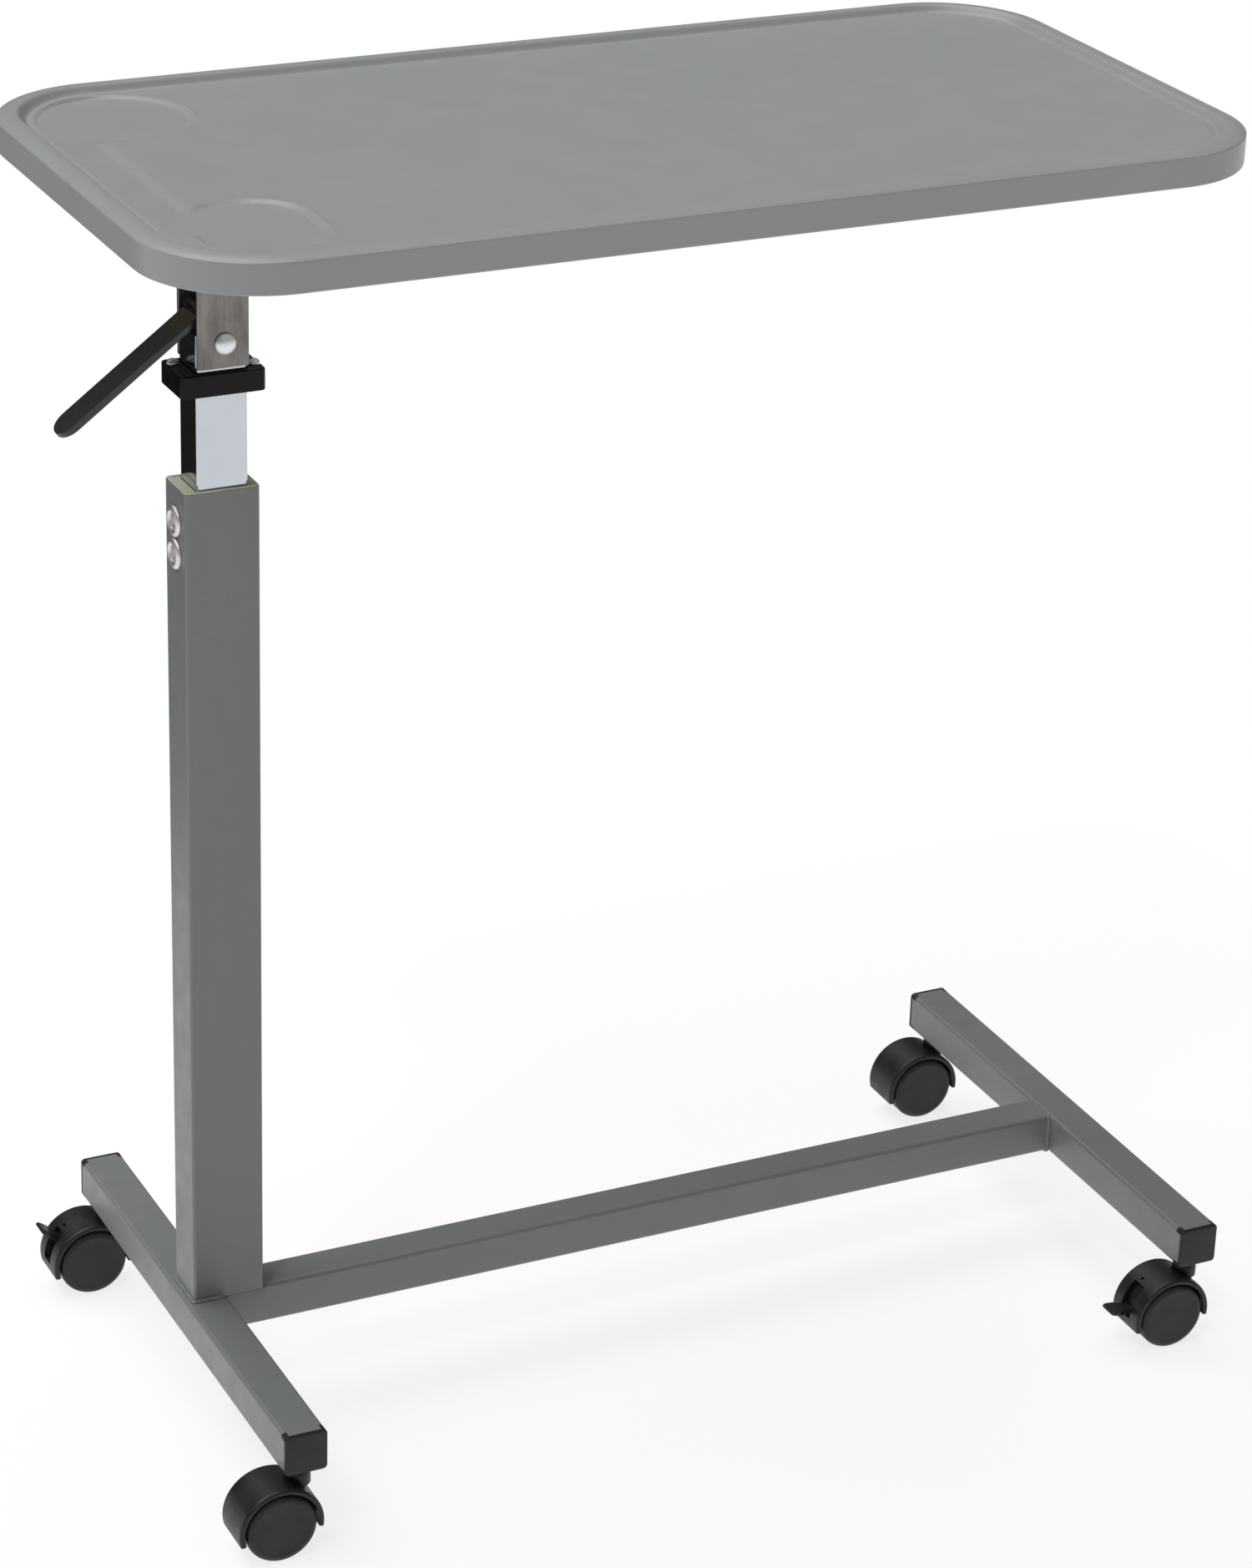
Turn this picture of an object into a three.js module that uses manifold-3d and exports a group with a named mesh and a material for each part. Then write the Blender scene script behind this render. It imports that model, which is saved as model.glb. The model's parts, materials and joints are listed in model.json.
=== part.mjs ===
// Overbed table: a moulded top on a telescopic column, over a wheeled I-shaped base.
// Millimetres, +Z up. While it is built, X = 0 and Y = 0 is the column's axis and Z = 0 is the floor.
// The finished group is moved along X so that its origin is the centre of its plan box, on the floor.
import * as THREE from "three";
import { mergeVertices } from "three/addons/utils/BufferGeometryUtils.js";
import Module from "manifold-3d";

const wasm = await Module();
wasm.setup();

// ---- driving dimensions ----
const GAP = 0.3; // clearance between pieces that touch or slide
const FOOT = { width: 30, wall: 1.5, corner: 3, halfLength: 201, top: 94, leftX: -16, rightX: 672 };
const CAP = { plate: 3, plug: 4, bevel: 1 };
const COLUMN = { x: 51, y: 37, wall: 1.3, corner: 2.5, top: 686 };
const MAST = { offset: 1.2, x: 34.5, y: 31, wall: 1.3, corner: 2, bottom: 250, top: 790 };
const COLLAR = { x: 57, y: 38.4, bottom: 750, top: 765, corner: 2.5 };
const COLLAR_SCREW = { inset: 4.6, y: 9, shankR: 1.5, holeR: 1.8, depth: 4.7, headR: 3.8, headHeight: 3.4 };
const BRACKET = { wall: 2.5, bottom: 768, corner: 1.2 };
const TOP = { leftX: -94, length: 760, width: 394, radius: 77, height: 897.5, thickness: 23 };
const TRAY = { skin: 3.5, skirt: 4, rimWidth: 15, rimHeight: 4, edgeRound: 5, footRound: 1.5 };
const BOARD_THICKNESS = 15;
const RAIL = { size: 20, wall: 1.5, corner: 2, y: 95, fromX: -60, toX: 520 };
const PLATE = { x: 150, y: 230, thickness: 4, offset: 40, corner: 8 };
const TOP_SCREW = { inset: 14, headR: 4.5, headHeight: 3, shankR: 2, holeR: 2.5, bite: 11 };
const CASTER = { stemY: 185, trail: 17.4, wheelR: 25, faceY: 18, innerY: 6.2, axleR: 3, stemR: 4.5 };
const STEM = { bottom: 40, collarR: 7, topGap: 4, socketR: 7.5 };
const HOOD = { outerR: 30, innerR: 26.3, halfWidth: 17.5, edge: 1.6, from: -8, to: 195, web: 2, hubR: 8 };
const BOSS = { bottom: 6, neckR: 5.8, neckTop: 22, r: 8.6, coneTop: 25, shoulder: 30, topR: 7, top: 35 };
const PEDAL = { reach: 46, thickness: 4, released: 141, pressed: 171, ringR: 7, side: 3, armFrom: 4 };
const TONGUE = { from: 22.6, half: 5.8, padLength: 10, padHalf: 7.5 };
const SLOT = { innerR: 21.5, half: 6.3, before: 11, after: 10 };
const LEVER = {
  pivotX: -8,
  pivotZ: 802.8,
  droop: 36.9,
  length: 119,
  width: 24,
  thickness: 4.5,
  hubR: 6,
  pinR: 2.5,
  fingerDrop: 4,
  fingerWidth: 10,
  fingerReach: 14,
};
const SPRING = { cylinderR: 11, boreR: 9, bottom: 112, top: 522, end: 8, rodR: 4, pistonZ: 195, rodTop: 779 };
const PISTON = { clearance: 0.4, height: 10 };
const PLUNGER = { r: 3, tipR: 0.6, tipHeight: 1.3 };
const BLOCK = { bottom: 774, top: 789, corner: 0.6 };
const BOLT = { offset: 1.2, z: 784, headR: 7.2, headHeight: 4.5, shankR: 3, tipY: 7.3 };
const GUIDE = { bottom: 622, proud: 0.8, shoeLength: 35 };
const GUIDE_SCREW = { z: [640.7, 662.7], headR: 10.6, headHeight: 3, shankR: 3, shankLength: 6 };
const BASE_PLATE_THICKNESS = 4;

// Levels under the top, worked down from its height.
const BOARD_TOP = TOP.height - TRAY.rimHeight - TRAY.skin - GAP;
const BOARD_BOTTOM = BOARD_TOP - BOARD_THICKNESS;
const RAIL_TOP = BOARD_BOTTOM - GAP;
const RAIL_BOTTOM = RAIL_TOP - RAIL.size;
const PLATE_TOP = RAIL_BOTTOM - GAP;
const PLATE_BOTTOM = PLATE_TOP - PLATE.thickness;
const BRACKET_TOP = PLATE_BOTTOM - GAP;
const FOOT_MIDDLE = FOOT.top - FOOT.width / 2;
const FOOT_BOTTOM = FOOT.top - FOOT.width;
const COLUMN_BOTTOM = FOOT.top + GAP;
const WHEEL_Z = CASTER.wheelR;

// Facets round a turned piece, and round a small hole or pin.
const SIDES = 16;
const SMALL_SIDES = 10;
const WHEEL_SIDES = 22;
const PAST = 1; // how far a cutting solid runs past the piece that it cuts

// ---- finishes ----
const FINISH = {
  paint: { color: 0x666a68, roughness: 0.45, metalness: 0.2 },
  plated: { color: 0xc4c6c9, roughness: 0.18, metalness: 1 },
  darkMetal: { color: 0x6f6b69, roughness: 0.32, metalness: 0.9 },
  steel: { color: 0x9a9b9c, roughness: 0.4, metalness: 1 },
  blackPlastic: { color: 0x2b2a2c, roughness: 0.5, metalness: 0 },
  wheelPlastic: { color: 0x333235, roughness: 0.55, metalness: 0 },
  guidePlastic: { color: 0xb7bcae, roughness: 0.5, metalness: 0 },
  topPlastic: { color: 0x8d918f, roughness: 0.45, metalness: 0 },
  board: { color: 0xa8875f, roughness: 0.8, metalness: 0 },
  vinyl: { color: 0x4c4745, roughness: 0.6, metalness: 0 },
};

// ---- solids ----

// A closed three.js geometry as a manifold solid.
function solid(geometry) {
  const bare = geometry.clone();
  bare.deleteAttribute("normal");
  bare.deleteAttribute("uv");
  const merged = mergeVertices(bare, 1e-3);
  const mesh = new wasm.Mesh({
    numProp: 3,
    vertProperties: merged.attributes.position.array,
    triVerts: new Uint32Array(merged.index.array),
  });
  return new wasm.Manifold(mesh);
}

// A manifold solid as a three.js geometry.
function geometryOf(body) {
  const mesh = body.getMesh();
  const geometry = new THREE.BufferGeometry();
  geometry.setAttribute("position", new THREE.BufferAttribute(mesh.vertProperties, 3));
  geometry.setIndex(new THREE.BufferAttribute(mesh.triVerts, 1));
  return geometry;
}

const join = (first, ...others) => others.reduce((whole, next) => whole.add(next), first);
const cut = (first, ...others) => others.reduce((whole, next) => whole.subtract(next), first);

const box = (from, to) => {
  const size = to.map((high, i) => high - from[i]);
  const middle = to.map((high, i) => (high + from[i]) / 2);
  return solid(new THREE.BoxGeometry(...size).translate(...middle));
};

// A cylinder between two heights on an upright axis through (x, y).
const post = (x, y, low, high, radius, sides = SMALL_SIDES) =>
  solid(
    new THREE.CylinderGeometry(radius, radius, high - low, sides)
      .rotateX(Math.PI / 2)
      .translate(x, y, (low + high) / 2),
  );

// A cylinder along Y between two y values, through (x, z).
const rodY = (x, z, from, to, radius, sides = SMALL_SIDES) =>
  solid(new THREE.CylinderGeometry(radius, radius, to - from, sides).translate(x, (from + to) / 2, z));

// A closed profile of [radius, height] pairs turned about Z.
function turned(profile, sides = SIDES) {
  const points = profile.map(([radius, height]) => new THREE.Vector2(radius, height));
  return new THREE.LatheGeometry(points, sides).rotateX(Math.PI / 2);
}

// A rectangle with round corners, centred on the origin.
function roundRect(width, height, radius) {
  const x = width / 2 - radius;
  const y = height / 2 - radius;
  const shape = new THREE.Shape();
  shape.absarc(x, y, radius, 0, Math.PI / 2);
  shape.absarc(-x, y, radius, Math.PI / 2, Math.PI);
  shape.absarc(-x, -y, radius, Math.PI, 1.5 * Math.PI);
  shape.absarc(x, -y, radius, 1.5 * Math.PI, 2 * Math.PI);
  return shape;
}

const extruded = (shape, depth, segments = 2) =>
  new THREE.ExtrudeGeometry(shape, { depth, bevelEnabled: false, curveSegments: segments });

// An upright block with round vertical corners, between two heights, centred on (x, y).
const block = (x, y, low, high, width, height, radius) =>
  solid(extruded(roundRect(width, height, radius), high - low).translate(x, y, low));

// An upright rectangular tube.
const uprightTube = (x, low, high, size) =>
  cut(
    block(x, 0, low, high, size.x, size.y, size.corner),
    block(x, 0, low - 1, high + 1, size.x - 2 * size.wall, size.y - 2 * size.wall, size.corner - size.wall),
  );

// A square tube lying along Y, at (x, z).
function tubeAlongY(x, z, from, to, size, wall, corner) {
  const bar = (side, radius, low, high) =>
    solid(
      extruded(roundRect(side, side, radius), high - low)
        .rotateX(Math.PI / 2)
        .translate(x, high, z),
    );
  return cut(bar(size, corner, from, to), bar(size - 2 * wall, corner - wall, from - 1, to + 1));
}

// A square tube lying along X, at (y, z).
const tubeAlongX = (y, z, from, to, size, wall, corner) =>
  solid(
    geometryOf(tubeAlongY(0, z, -to, -from, size, wall, corner))
      .rotateZ(Math.PI / 2)
      .translate(0, y, 0),
  );

// ---- the group ----
const table = new THREE.Group();

function add(name, body, finish) {
  const mesh = new THREE.Mesh(geometryOf(body), new THREE.MeshStandardMaterial(FINISH[finish]));
  mesh.name = name;
  table.add(mesh);
}

// ---- base frame ----
function addFoot(side, x) {
  const tubeEnd = FOOT.halfLength - CAP.plate;
  const stemHole = (y) => post(x, y, FOOT_BOTTOM - PAST, FOOT_MIDDLE, CASTER.stemR + 1);
  add(
    `${side}_foot_tube`,
    cut(
      tubeAlongY(x, FOOT_MIDDLE, -tubeEnd, tubeEnd, FOOT.width, FOOT.wall, FOOT.corner),
      stemHole(-CASTER.stemY),
      stemHole(CASTER.stemY),
    ),
    "paint",
  );
  addEndCap(`end_cap_${side}_front`, x, -1);
  addEndCap(`end_cap_${side}_back`, x, 1);
}

// A cap with a pillowed outer plate and a plug that fits the tube.
function addEndCap(name, x, direction) {
  const plugSide = FOOT.width - 2 * FOOT.wall - 2 * GAP;
  const plugLength = CAP.plug + GAP;
  const faceSide = FOOT.width - 2 * CAP.bevel;
  const plate = new THREE.ExtrudeGeometry(roundRect(faceSide, faceSide, FOOT.corner - CAP.bevel), {
    depth: CAP.plate - GAP - CAP.bevel,
    bevelThickness: CAP.bevel,
    bevelSize: CAP.bevel,
    bevelSegments: 1,
    curveSegments: 2,
  });
  const plug = extruded(roundRect(plugSide, plugSide, CAP.bevel), plugLength + PAST);
  const outer = solid(plate.translate(0, 0, GAP));
  const bevelFoot = box([-FOOT.width, -FOOT.width, -CAP.plate], [FOOT.width, FOOT.width, GAP]);
  const cap = join(cut(outer, bevelFoot), solid(plug.translate(0, 0, -plugLength)));
  const placed = geometryOf(cap).rotateX((-direction * Math.PI) / 2);
  placed.translate(x, direction * (FOOT.halfLength - CAP.plate), FOOT_MIDDLE);
  add(name, solid(placed), "blackPlastic");
}

function addBase() {
  addFoot("left", FOOT.leftX);
  addFoot("right", FOOT.rightX);
  const halfWidth = FOOT.width / 2 + GAP;
  const spineFrom = FOOT.leftX + halfWidth;
  const spineTo = FOOT.rightX - halfWidth;
  add(
    "spine_tube",
    tubeAlongX(0, FOOT_MIDDLE, spineFrom, spineTo, FOOT.width, FOOT.wall, FOOT.corner),
    "paint",
  );
}

// ---- column and what is fixed in it ----
function guideScrewHoles(radius, from, to) {
  return GUIDE_SCREW.z.map((z) =>
    solid(
      new THREE.CylinderGeometry(radius, radius, to - from, SMALL_SIDES)
        .rotateZ(Math.PI / 2)
        .translate((from + to) / 2, 0, z),
    ),
  );
}

function addColumn() {
  const face = -COLUMN.x / 2;
  const innerX = COLUMN.x - 2 * COLUMN.wall;
  const innerY = COLUMN.y - 2 * COLUMN.wall;
  const innerCorner = COLUMN.corner - COLUMN.wall;
  const holeR = GUIDE_SCREW.shankR + GAP;
  const plateTop = COLUMN_BOTTOM + BASE_PLATE_THICKNESS;
  add(
    "outer_column",
    cut(
      uprightTube(0, COLUMN_BOTTOM, COLUMN.top, COLUMN),
      ...guideScrewHoles(holeR, face - PAST, face + COLUMN.wall + PAST),
    ),
    "paint",
  );
  add(
    "column_base_plate",
    cut(
      block(0, 0, COLUMN_BOTTOM, plateTop, innerX - 2 * GAP, innerY - 2 * GAP, innerCorner),
      post(MAST.offset, 0, COLUMN_BOTTOM - PAST, plateTop + PAST, SPRING.rodR + GAP),
    ),
    "steel",
  );
  add(
    "column_guide_bush",
    cut(
      guideRing(GUIDE.bottom, COLUMN.top + GUIDE.proud),
      ...guideScrewHoles(holeR, face, face + GUIDE_SCREW.shankLength + PAST),
    ),
    "guidePlastic",
  );
  const names = ["guide_screw_lower", "guide_screw_upper"];
  names.forEach((name, i) => addGuideScrew(name, face, GUIDE_SCREW.z[i]));
}

// A block that cuts room for the mast.
const mastHole = (low, high) =>
  block(MAST.offset, 0, low - PAST, high + PAST, MAST.x + 2 * GAP, MAST.y + 2 * GAP, MAST.corner);

// A plastic ring that fills the space between the column's bore and the mast.
function guideRing(low, high) {
  const outerX = COLUMN.x - 2 * COLUMN.wall - 2 * GAP;
  const outerY = COLUMN.y - 2 * COLUMN.wall - 2 * GAP;
  const corner = COLUMN.corner - COLUMN.wall;
  return cut(
    block(0, 0, low, high, outerX, outerY, corner),
    mastHole(low, high),
  );
}

// A wide dished head on the column's outer face, with its shank through the wall into the bush.
function addGuideScrew(name, face, z) {
  const { headR, headHeight, shankR, shankLength } = GUIDE_SCREW;
  const edge = 1.3; // height of the head's cylindrical edge
  const dish = 1.6; // height of the dish's floor
  const profile = [
    [0, -shankLength],
    [shankR, -shankLength],
    [shankR, GAP],
    [headR, GAP],
    [headR, edge],
    [headR - 1.8, headHeight],
    [headR - 4.2, headHeight],
    [headR - 5.4, dish],
    [0, dish],
  ];
  const screw = turned(profile).rotateY(-Math.PI / 2).translate(face, 0, z);
  add(name, solid(screw), "plated");
}

function addSpringCylinder() {
  const { cylinderR, boreR, bottom, top, end, rodR } = SPRING;
  const studBottom = COLUMN_BOTTOM + 2 * GAP;
  const profile = [
    [0, studBottom],
    [rodR, studBottom],
    [rodR, bottom],
    [cylinderR, bottom],
    [cylinderR, top],
    [rodR + GAP, top],
    [rodR + GAP, top - end],
    [boreR, top - end],
    [boreR, bottom + end],
    [0, bottom + end],
  ];
  add("gas_spring_cylinder", solid(turned(profile).translate(MAST.offset, 0, 0)), "darkMetal");
}

// ---- casters ----
// Built about the wheel axis at the origin, with the stem at x = trail, then moved under the foot.

// A sector of a ring about Y, between two angles counted from +X towards +Z.
function sector(innerR, outerR, from, to, halfWidth, segments = 12) {
  const start = THREE.MathUtils.degToRad(from);
  const end = THREE.MathUtils.degToRad(to);
  const shape = new THREE.Shape();
  shape.absarc(0, 0, outerR, start, end, false);
  if (innerR > 0) shape.absarc(0, 0, innerR, end, start, true);
  else shape.lineTo(0, 0);
  return solid(
    extruded(shape, 2 * halfWidth, segments)
      .rotateX(Math.PI / 2)
      .translate(0, halfWidth, 0),
  );
}

// The hood's arched shell, with its side edges chamfered.
function hoodShell() {
  const { outerR, innerR, halfWidth, edge, from, to } = HOOD;
  const middle = sector(innerR, outerR, from, to, halfWidth - edge);
  const edges = sector(innerR, outerR - edge, from, to, halfWidth);
  return join(middle, edges);
}

function hoodBody(braked) {
  const { innerR, from, to, web, hubR } = HOOD;
  const bossAxis = CASTER.trail;
  const bossSides = 12;
  const boss = turned(
    [
      [0, BOSS.bottom],
      [BOSS.neckR, BOSS.bottom],
      [BOSS.neckR, BOSS.neckTop],
      [BOSS.r, BOSS.coneTop],
      [BOSS.r, BOSS.shoulder],
      [BOSS.topR, BOSS.top],
      [0, BOSS.top],
    ],
    bossSides,
  ).translate(bossAxis, 0, 0);
  const hub = rodY(0, 0, -CASTER.innerY + GAP, web, hubR);
  const whole = join(hoodShell(), sector(0, innerR + PAST, from, to, web), solid(boss), hub);
  const cuts = [
    rodY(0, 0, -HOOD.halfWidth, HOOD.halfWidth, CASTER.axleR + GAP),
    post(bossAxis, 0, 2 * BOSS.bottom, BOSS.top + PAST, CASTER.stemR + GAP),
  ];
  if (braked) {
    const [from, to] = [PEDAL.released - SLOT.before, PEDAL.pressed + SLOT.after];
    cuts.push(sector(SLOT.innerR, HOOD.outerR + PAST, from, to, SLOT.half));
  }
  return cut(whole, ...cuts);
}

// A wheel whose inner side faces +Y; it has a blind bore for the axle.
function wheelBody() {
  const { wheelR, faceY, innerY, axleR } = CASTER;
  const boreEnd = faceY - 2.7;
  const profile = [
    [0, faceY - 0.8],
    [wheelR - 9, faceY - 0.6],
    [wheelR - 5, faceY],
    [wheelR - 1.4, faceY - 1],
    [wheelR, faceY - 3.5],
    [wheelR, innerY + 2],
    [wheelR - 1, innerY],
    [axleR + GAP, innerY],
    [axleR + GAP, boreEnd],
    [0, boreEnd],
  ];
  return solid(turned([...profile].reverse(), WHEEL_SIDES).rotateX(Math.PI / 2));
}

// A brake pedal that turns on the axle and reaches out through the hood's slot at the given angle.
function pedalBody(angle) {
  const { reach, thickness, ringR } = PEDAL;
  const near = HOOD.web + GAP;
  const far = near + PEDAL.side;
  const low = -thickness / 2;
  const high = thickness / 2;
  const ring = rodY(0, 0, near, far, ringR);
  const arm = box([PEDAL.armFrom, near, -ringR / 2], [TONGUE.from + 2, far, ringR / 2]);
  const tongue = box([TONGUE.from, -TONGUE.half, low], [reach - 4, TONGUE.half, high]);
  const pad = box([reach - TONGUE.padLength, -TONGUE.padHalf, low], [reach, TONGUE.padHalf, high]);
  const bore = rodY(0, 0, near - PAST, far + PAST, CASTER.axleR + GAP);
  const pedal = cut(join(ring, arm, tongue, pad), bore);
  return solid(geometryOf(pedal).rotateY(-THREE.MathUtils.degToRad(angle)));
}

function addCaster(place, footX, stemY, pedalAngle) {
  const axleX = footX - CASTER.trail;
  const put = (name, body, finish) =>
    add(`${name}_${place}`, solid(geometryOf(body).translate(axleX, stemY, WHEEL_Z)), finish);
  const { stemR, axleR, faceY } = CASTER;
  const innerBottom = FOOT_BOTTOM + FOOT.wall + GAP;
  const innerTop = FOOT.top - FOOT.wall - GAP;
  add(
    `stem_socket_${place}`,
    cut(
      post(footX, stemY, innerBottom, innerTop, STEM.socketR),
      post(footX, stemY, innerBottom - PAST, innerTop + PAST, stemR + GAP),
    ),
    "blackPlastic",
  );
  const stemTop = FOOT.top - STEM.topGap;
  const collarBottom = WHEEL_Z + BOSS.top + GAP;
  const stem = turned([
    [0, STEM.bottom],
    [stemR, STEM.bottom],
    [stemR, collarBottom],
    [STEM.collarR, collarBottom],
    [STEM.collarR, FOOT_BOTTOM - GAP],
    [stemR, FOOT_BOTTOM - GAP],
    [stemR, stemTop - 2],
    [stemR - 1, stemTop],
    [0, stemTop],
  ]);
  add(`caster_stem_${place}`, solid(stem.translate(footX, stemY, 0)), "steel");
  put("caster_hood", hoodBody(pedalAngle !== null), "blackPlastic");
  put("caster_axle", rodY(0, 0, -faceY + 3, faceY - 3, axleR), "steel");
  const wheel = wheelBody();
  put("wheel_outer", wheel, "wheelPlastic");
  put("wheel_inner", solid(geometryOf(wheel).rotateZ(Math.PI)), "wheelPlastic");
  if (pedalAngle !== null) put("brake_pedal", pedalBody(pedalAngle), "blackPlastic");
}

function addCasters() {
  const { stemY } = CASTER;
  addCaster("left_front", FOOT.leftX, -stemY, null);
  addCaster("left_back", FOOT.leftX, stemY, PEDAL.released);
  addCaster("right_front", FOOT.rightX, -stemY, PEDAL.pressed);
  addCaster("right_back", FOOT.rightX, stemY, null);
}

// ---- mast and head ----
function boltHoles(from, to) {
  const x = MAST.offset + BOLT.offset;
  const radius = BOLT.shankR + GAP;
  return [rodY(x, BOLT.z, -to, -from, radius), rodY(x, BOLT.z, from, to, radius)];
}

function addMast() {
  const bracketFace = MAST.y / 2 + GAP + BRACKET.wall;
  add(
    "mast_tube",
    cut(
      uprightTube(MAST.offset, MAST.bottom, MAST.top, MAST),
      ...boltHoles(BOLT.tipY, MAST.y / 2 + PAST),
    ),
    "plated",
  );
  add("mast_foot_shoe", guideRing(MAST.bottom, MAST.bottom + GUIDE.shoeLength), "guidePlastic");

  const { rodR, boreR, pistonZ, rodTop } = SPRING;
  const pistonR = boreR - PISTON.clearance;
  const rod = turned([
    [0, pistonZ],
    [pistonR, pistonZ],
    [pistonR, pistonZ + PISTON.height],
    [rodR, pistonZ + PISTON.height],
    [rodR, rodTop],
    [0, rodTop],
  ]);
  add("gas_spring_rod", solid(rod.translate(MAST.offset, 0, 0)), "plated");

  const innerX = MAST.x - 2 * MAST.wall - 2 * GAP;
  const innerY = MAST.y - 2 * MAST.wall - 2 * GAP;
  add(
    "mast_head_block",
    cut(
      block(MAST.offset, 0, BLOCK.bottom, BLOCK.top, innerX, innerY, BLOCK.corner),
      post(MAST.offset, 0, BLOCK.bottom - PAST, rodTop + GAP, rodR + GAP),
      post(MAST.offset, 0, rodTop, BLOCK.top + PAST, PLUNGER.r + GAP),
      ...boltHoles(BOLT.tipY - GAP, MAST.y / 2 + PAST),
    ),
    "steel",
  );

  const x = MAST.offset + BOLT.offset;
  [
    ["head_bolt_front", -1],
    ["head_bolt_back", 1],
  ].forEach(([name, direction]) => {
    const { headR, headHeight, shankR, tipY } = BOLT;
    const dome = [
      [0, tipY - bracketFace],
      [shankR, tipY - bracketFace],
      [shankR, GAP],
      [headR, GAP],
      [headR, 0.3 * headHeight],
      [headR - 1.4, 0.67 * headHeight],
      [headR - 3.8, 0.95 * headHeight],
      [0, headHeight],
    ];
    const bolt = turned(dome).rotateX((-direction * Math.PI) / 2);
    add(name, solid(bolt.translate(x, direction * bracketFace, BOLT.z)), "plated");
  });
}

function addHead() {
  const screwX = MAST.offset - COLLAR.x / 2 + COLLAR_SCREW.inset;
  const { shankR, holeR, depth, headR, headHeight } = COLLAR_SCREW;
  add(
    "mast_collar",
    cut(
      block(MAST.offset, 0, COLLAR.bottom, COLLAR.top, COLLAR.x, COLLAR.y, COLLAR.corner),
      mastHole(COLLAR.bottom, COLLAR.top),
      post(screwX, COLLAR_SCREW.y, COLLAR.top - depth - GAP, COLLAR.top + PAST, holeR),
    ),
    "blackPlastic",
  );
  const screw = turned(
    [
      [0, -depth],
      [shankR, -depth],
      [shankR, GAP],
      [headR, GAP],
      [headR, 0.47 * headHeight],
      [headR - 1.4, 0.88 * headHeight],
      [0, headHeight],
    ],
    SMALL_SIDES,
  );
  screw.translate(screwX, COLLAR_SCREW.y, COLLAR.top);
  add("collar_screw", solid(screw), "plated");

  // Steel strip folded over the mast's top: a flange in front, one behind, and a web that joins them.
  const innerY = MAST.y / 2 + GAP;
  const outerY = innerY + BRACKET.wall;
  add(
    "head_bracket",
    cut(
      block(MAST.offset, 0, BRACKET.bottom, BRACKET_TOP, MAST.x, 2 * outerY, BRACKET.corner),
      box([-MAST.x, -innerY, BRACKET.bottom - PAST], [MAST.x, innerY, BRACKET_TOP - BRACKET.wall]),
      ...boltHoles(MAST.y / 2, outerY + PAST),
    ),
    "darkMetal",
  );
}

function addLever() {
  const { pivotX, pivotZ, droop, length, width, thickness, hubR, pinR } = LEVER;
  const half = width / 2;
  const arm = new THREE.Shape();
  arm.moveTo(0, -half);
  arm.lineTo(0, half);
  arm.lineTo(-(length - half), half);
  arm.absarc(-(length - half), 0, half, Math.PI / 2, 1.5 * Math.PI, false);
  const tipSegments = 8;
  const bar = extruded(arm, thickness, tipSegments)
    .translate(0, 0, -thickness / 2)
    .rotateY(-THREE.MathUtils.degToRad(droop));
  const fingerHalf = LEVER.fingerWidth / 2;
  const finger = box([0, -fingerHalf, -LEVER.fingerDrop], [LEVER.fingerReach, fingerHalf, 2]);
  const hub = rodY(0, 0, -half, half, hubR);
  const lever = cut(join(hub, solid(bar), finger), rodY(0, 0, -half - PAST, half + PAST, pinR + GAP));
  add("release_lever", solid(geometryOf(lever).translate(pivotX, 0, pivotZ)), "vinyl");

  const fingerBottom = pivotZ - LEVER.fingerDrop;
  const pinEnd = MAST.y / 2;
  add("lever_pivot_pin", rodY(pivotX, pivotZ, -pinEnd, pinEnd, pinR), "steel");
  const { r, tipR, tipHeight } = PLUNGER;
  const tip = fingerBottom - GAP;
  const foot = SPRING.rodTop + 3;
  const plunger = turned(
    [
      [0, foot],
      [r, foot],
      [r, tip - tipHeight],
      [tipR, tip],
      [0, tip],
    ],
    SMALL_SIDES,
  );
  add("release_plunger", solid(plunger.translate(MAST.offset, 0, 0)), "steel");
}

// ---- support frame and top ----
function screwPlaces() {
  const xs = [RAIL.fromX + TOP_SCREW.inset, RAIL.toX - TOP_SCREW.inset];
  return xs.flatMap((x) => [-RAIL.y, RAIL.y].map((y) => [x, y]));
}

function addSupport() {
  add(
    "mounting_plate",
    block(MAST.offset + PLATE.offset, 0, PLATE_BOTTOM, PLATE_TOP, PLATE.x, PLATE.y, PLATE.corner),
    "steel",
  );
  const middle = (RAIL_TOP + RAIL_BOTTOM) / 2;
  [
    ["support_rail_front", -RAIL.y],
    ["support_rail_back", RAIL.y],
  ].forEach(([name, railY]) => {
    const holes = screwPlaces()
      .filter(([, y]) => y === railY)
      .map(([x, y]) => post(x, y, RAIL_BOTTOM - PAST, RAIL_TOP + PAST, TOP_SCREW.holeR));
    add(
      name,
      cut(tubeAlongX(railY, middle, RAIL.fromX, RAIL.toX, RAIL.size, RAIL.wall, RAIL.corner), ...holes),
      "steel",
    );
  });
  const { headR, headHeight, shankR, bite } = TOP_SCREW;
  screwPlaces().forEach(([x, y], i) => {
    const screw = turned(
      [
        [0, RAIL_BOTTOM - headHeight],
        [headR - 1.5, RAIL_BOTTOM - headHeight],
        [headR, RAIL_BOTTOM - headHeight / 2],
        [headR, RAIL_BOTTOM - GAP],
        [shankR, RAIL_BOTTOM - GAP],
        [shankR, BOARD_BOTTOM + bite - 2],
        [0, BOARD_BOTTOM + bite],
      ],
      SMALL_SIDES,
    );
    add(`top_screw_${i + 1}`, solid(screw.translate(x, y, 0)), "steel");
  });
}

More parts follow.
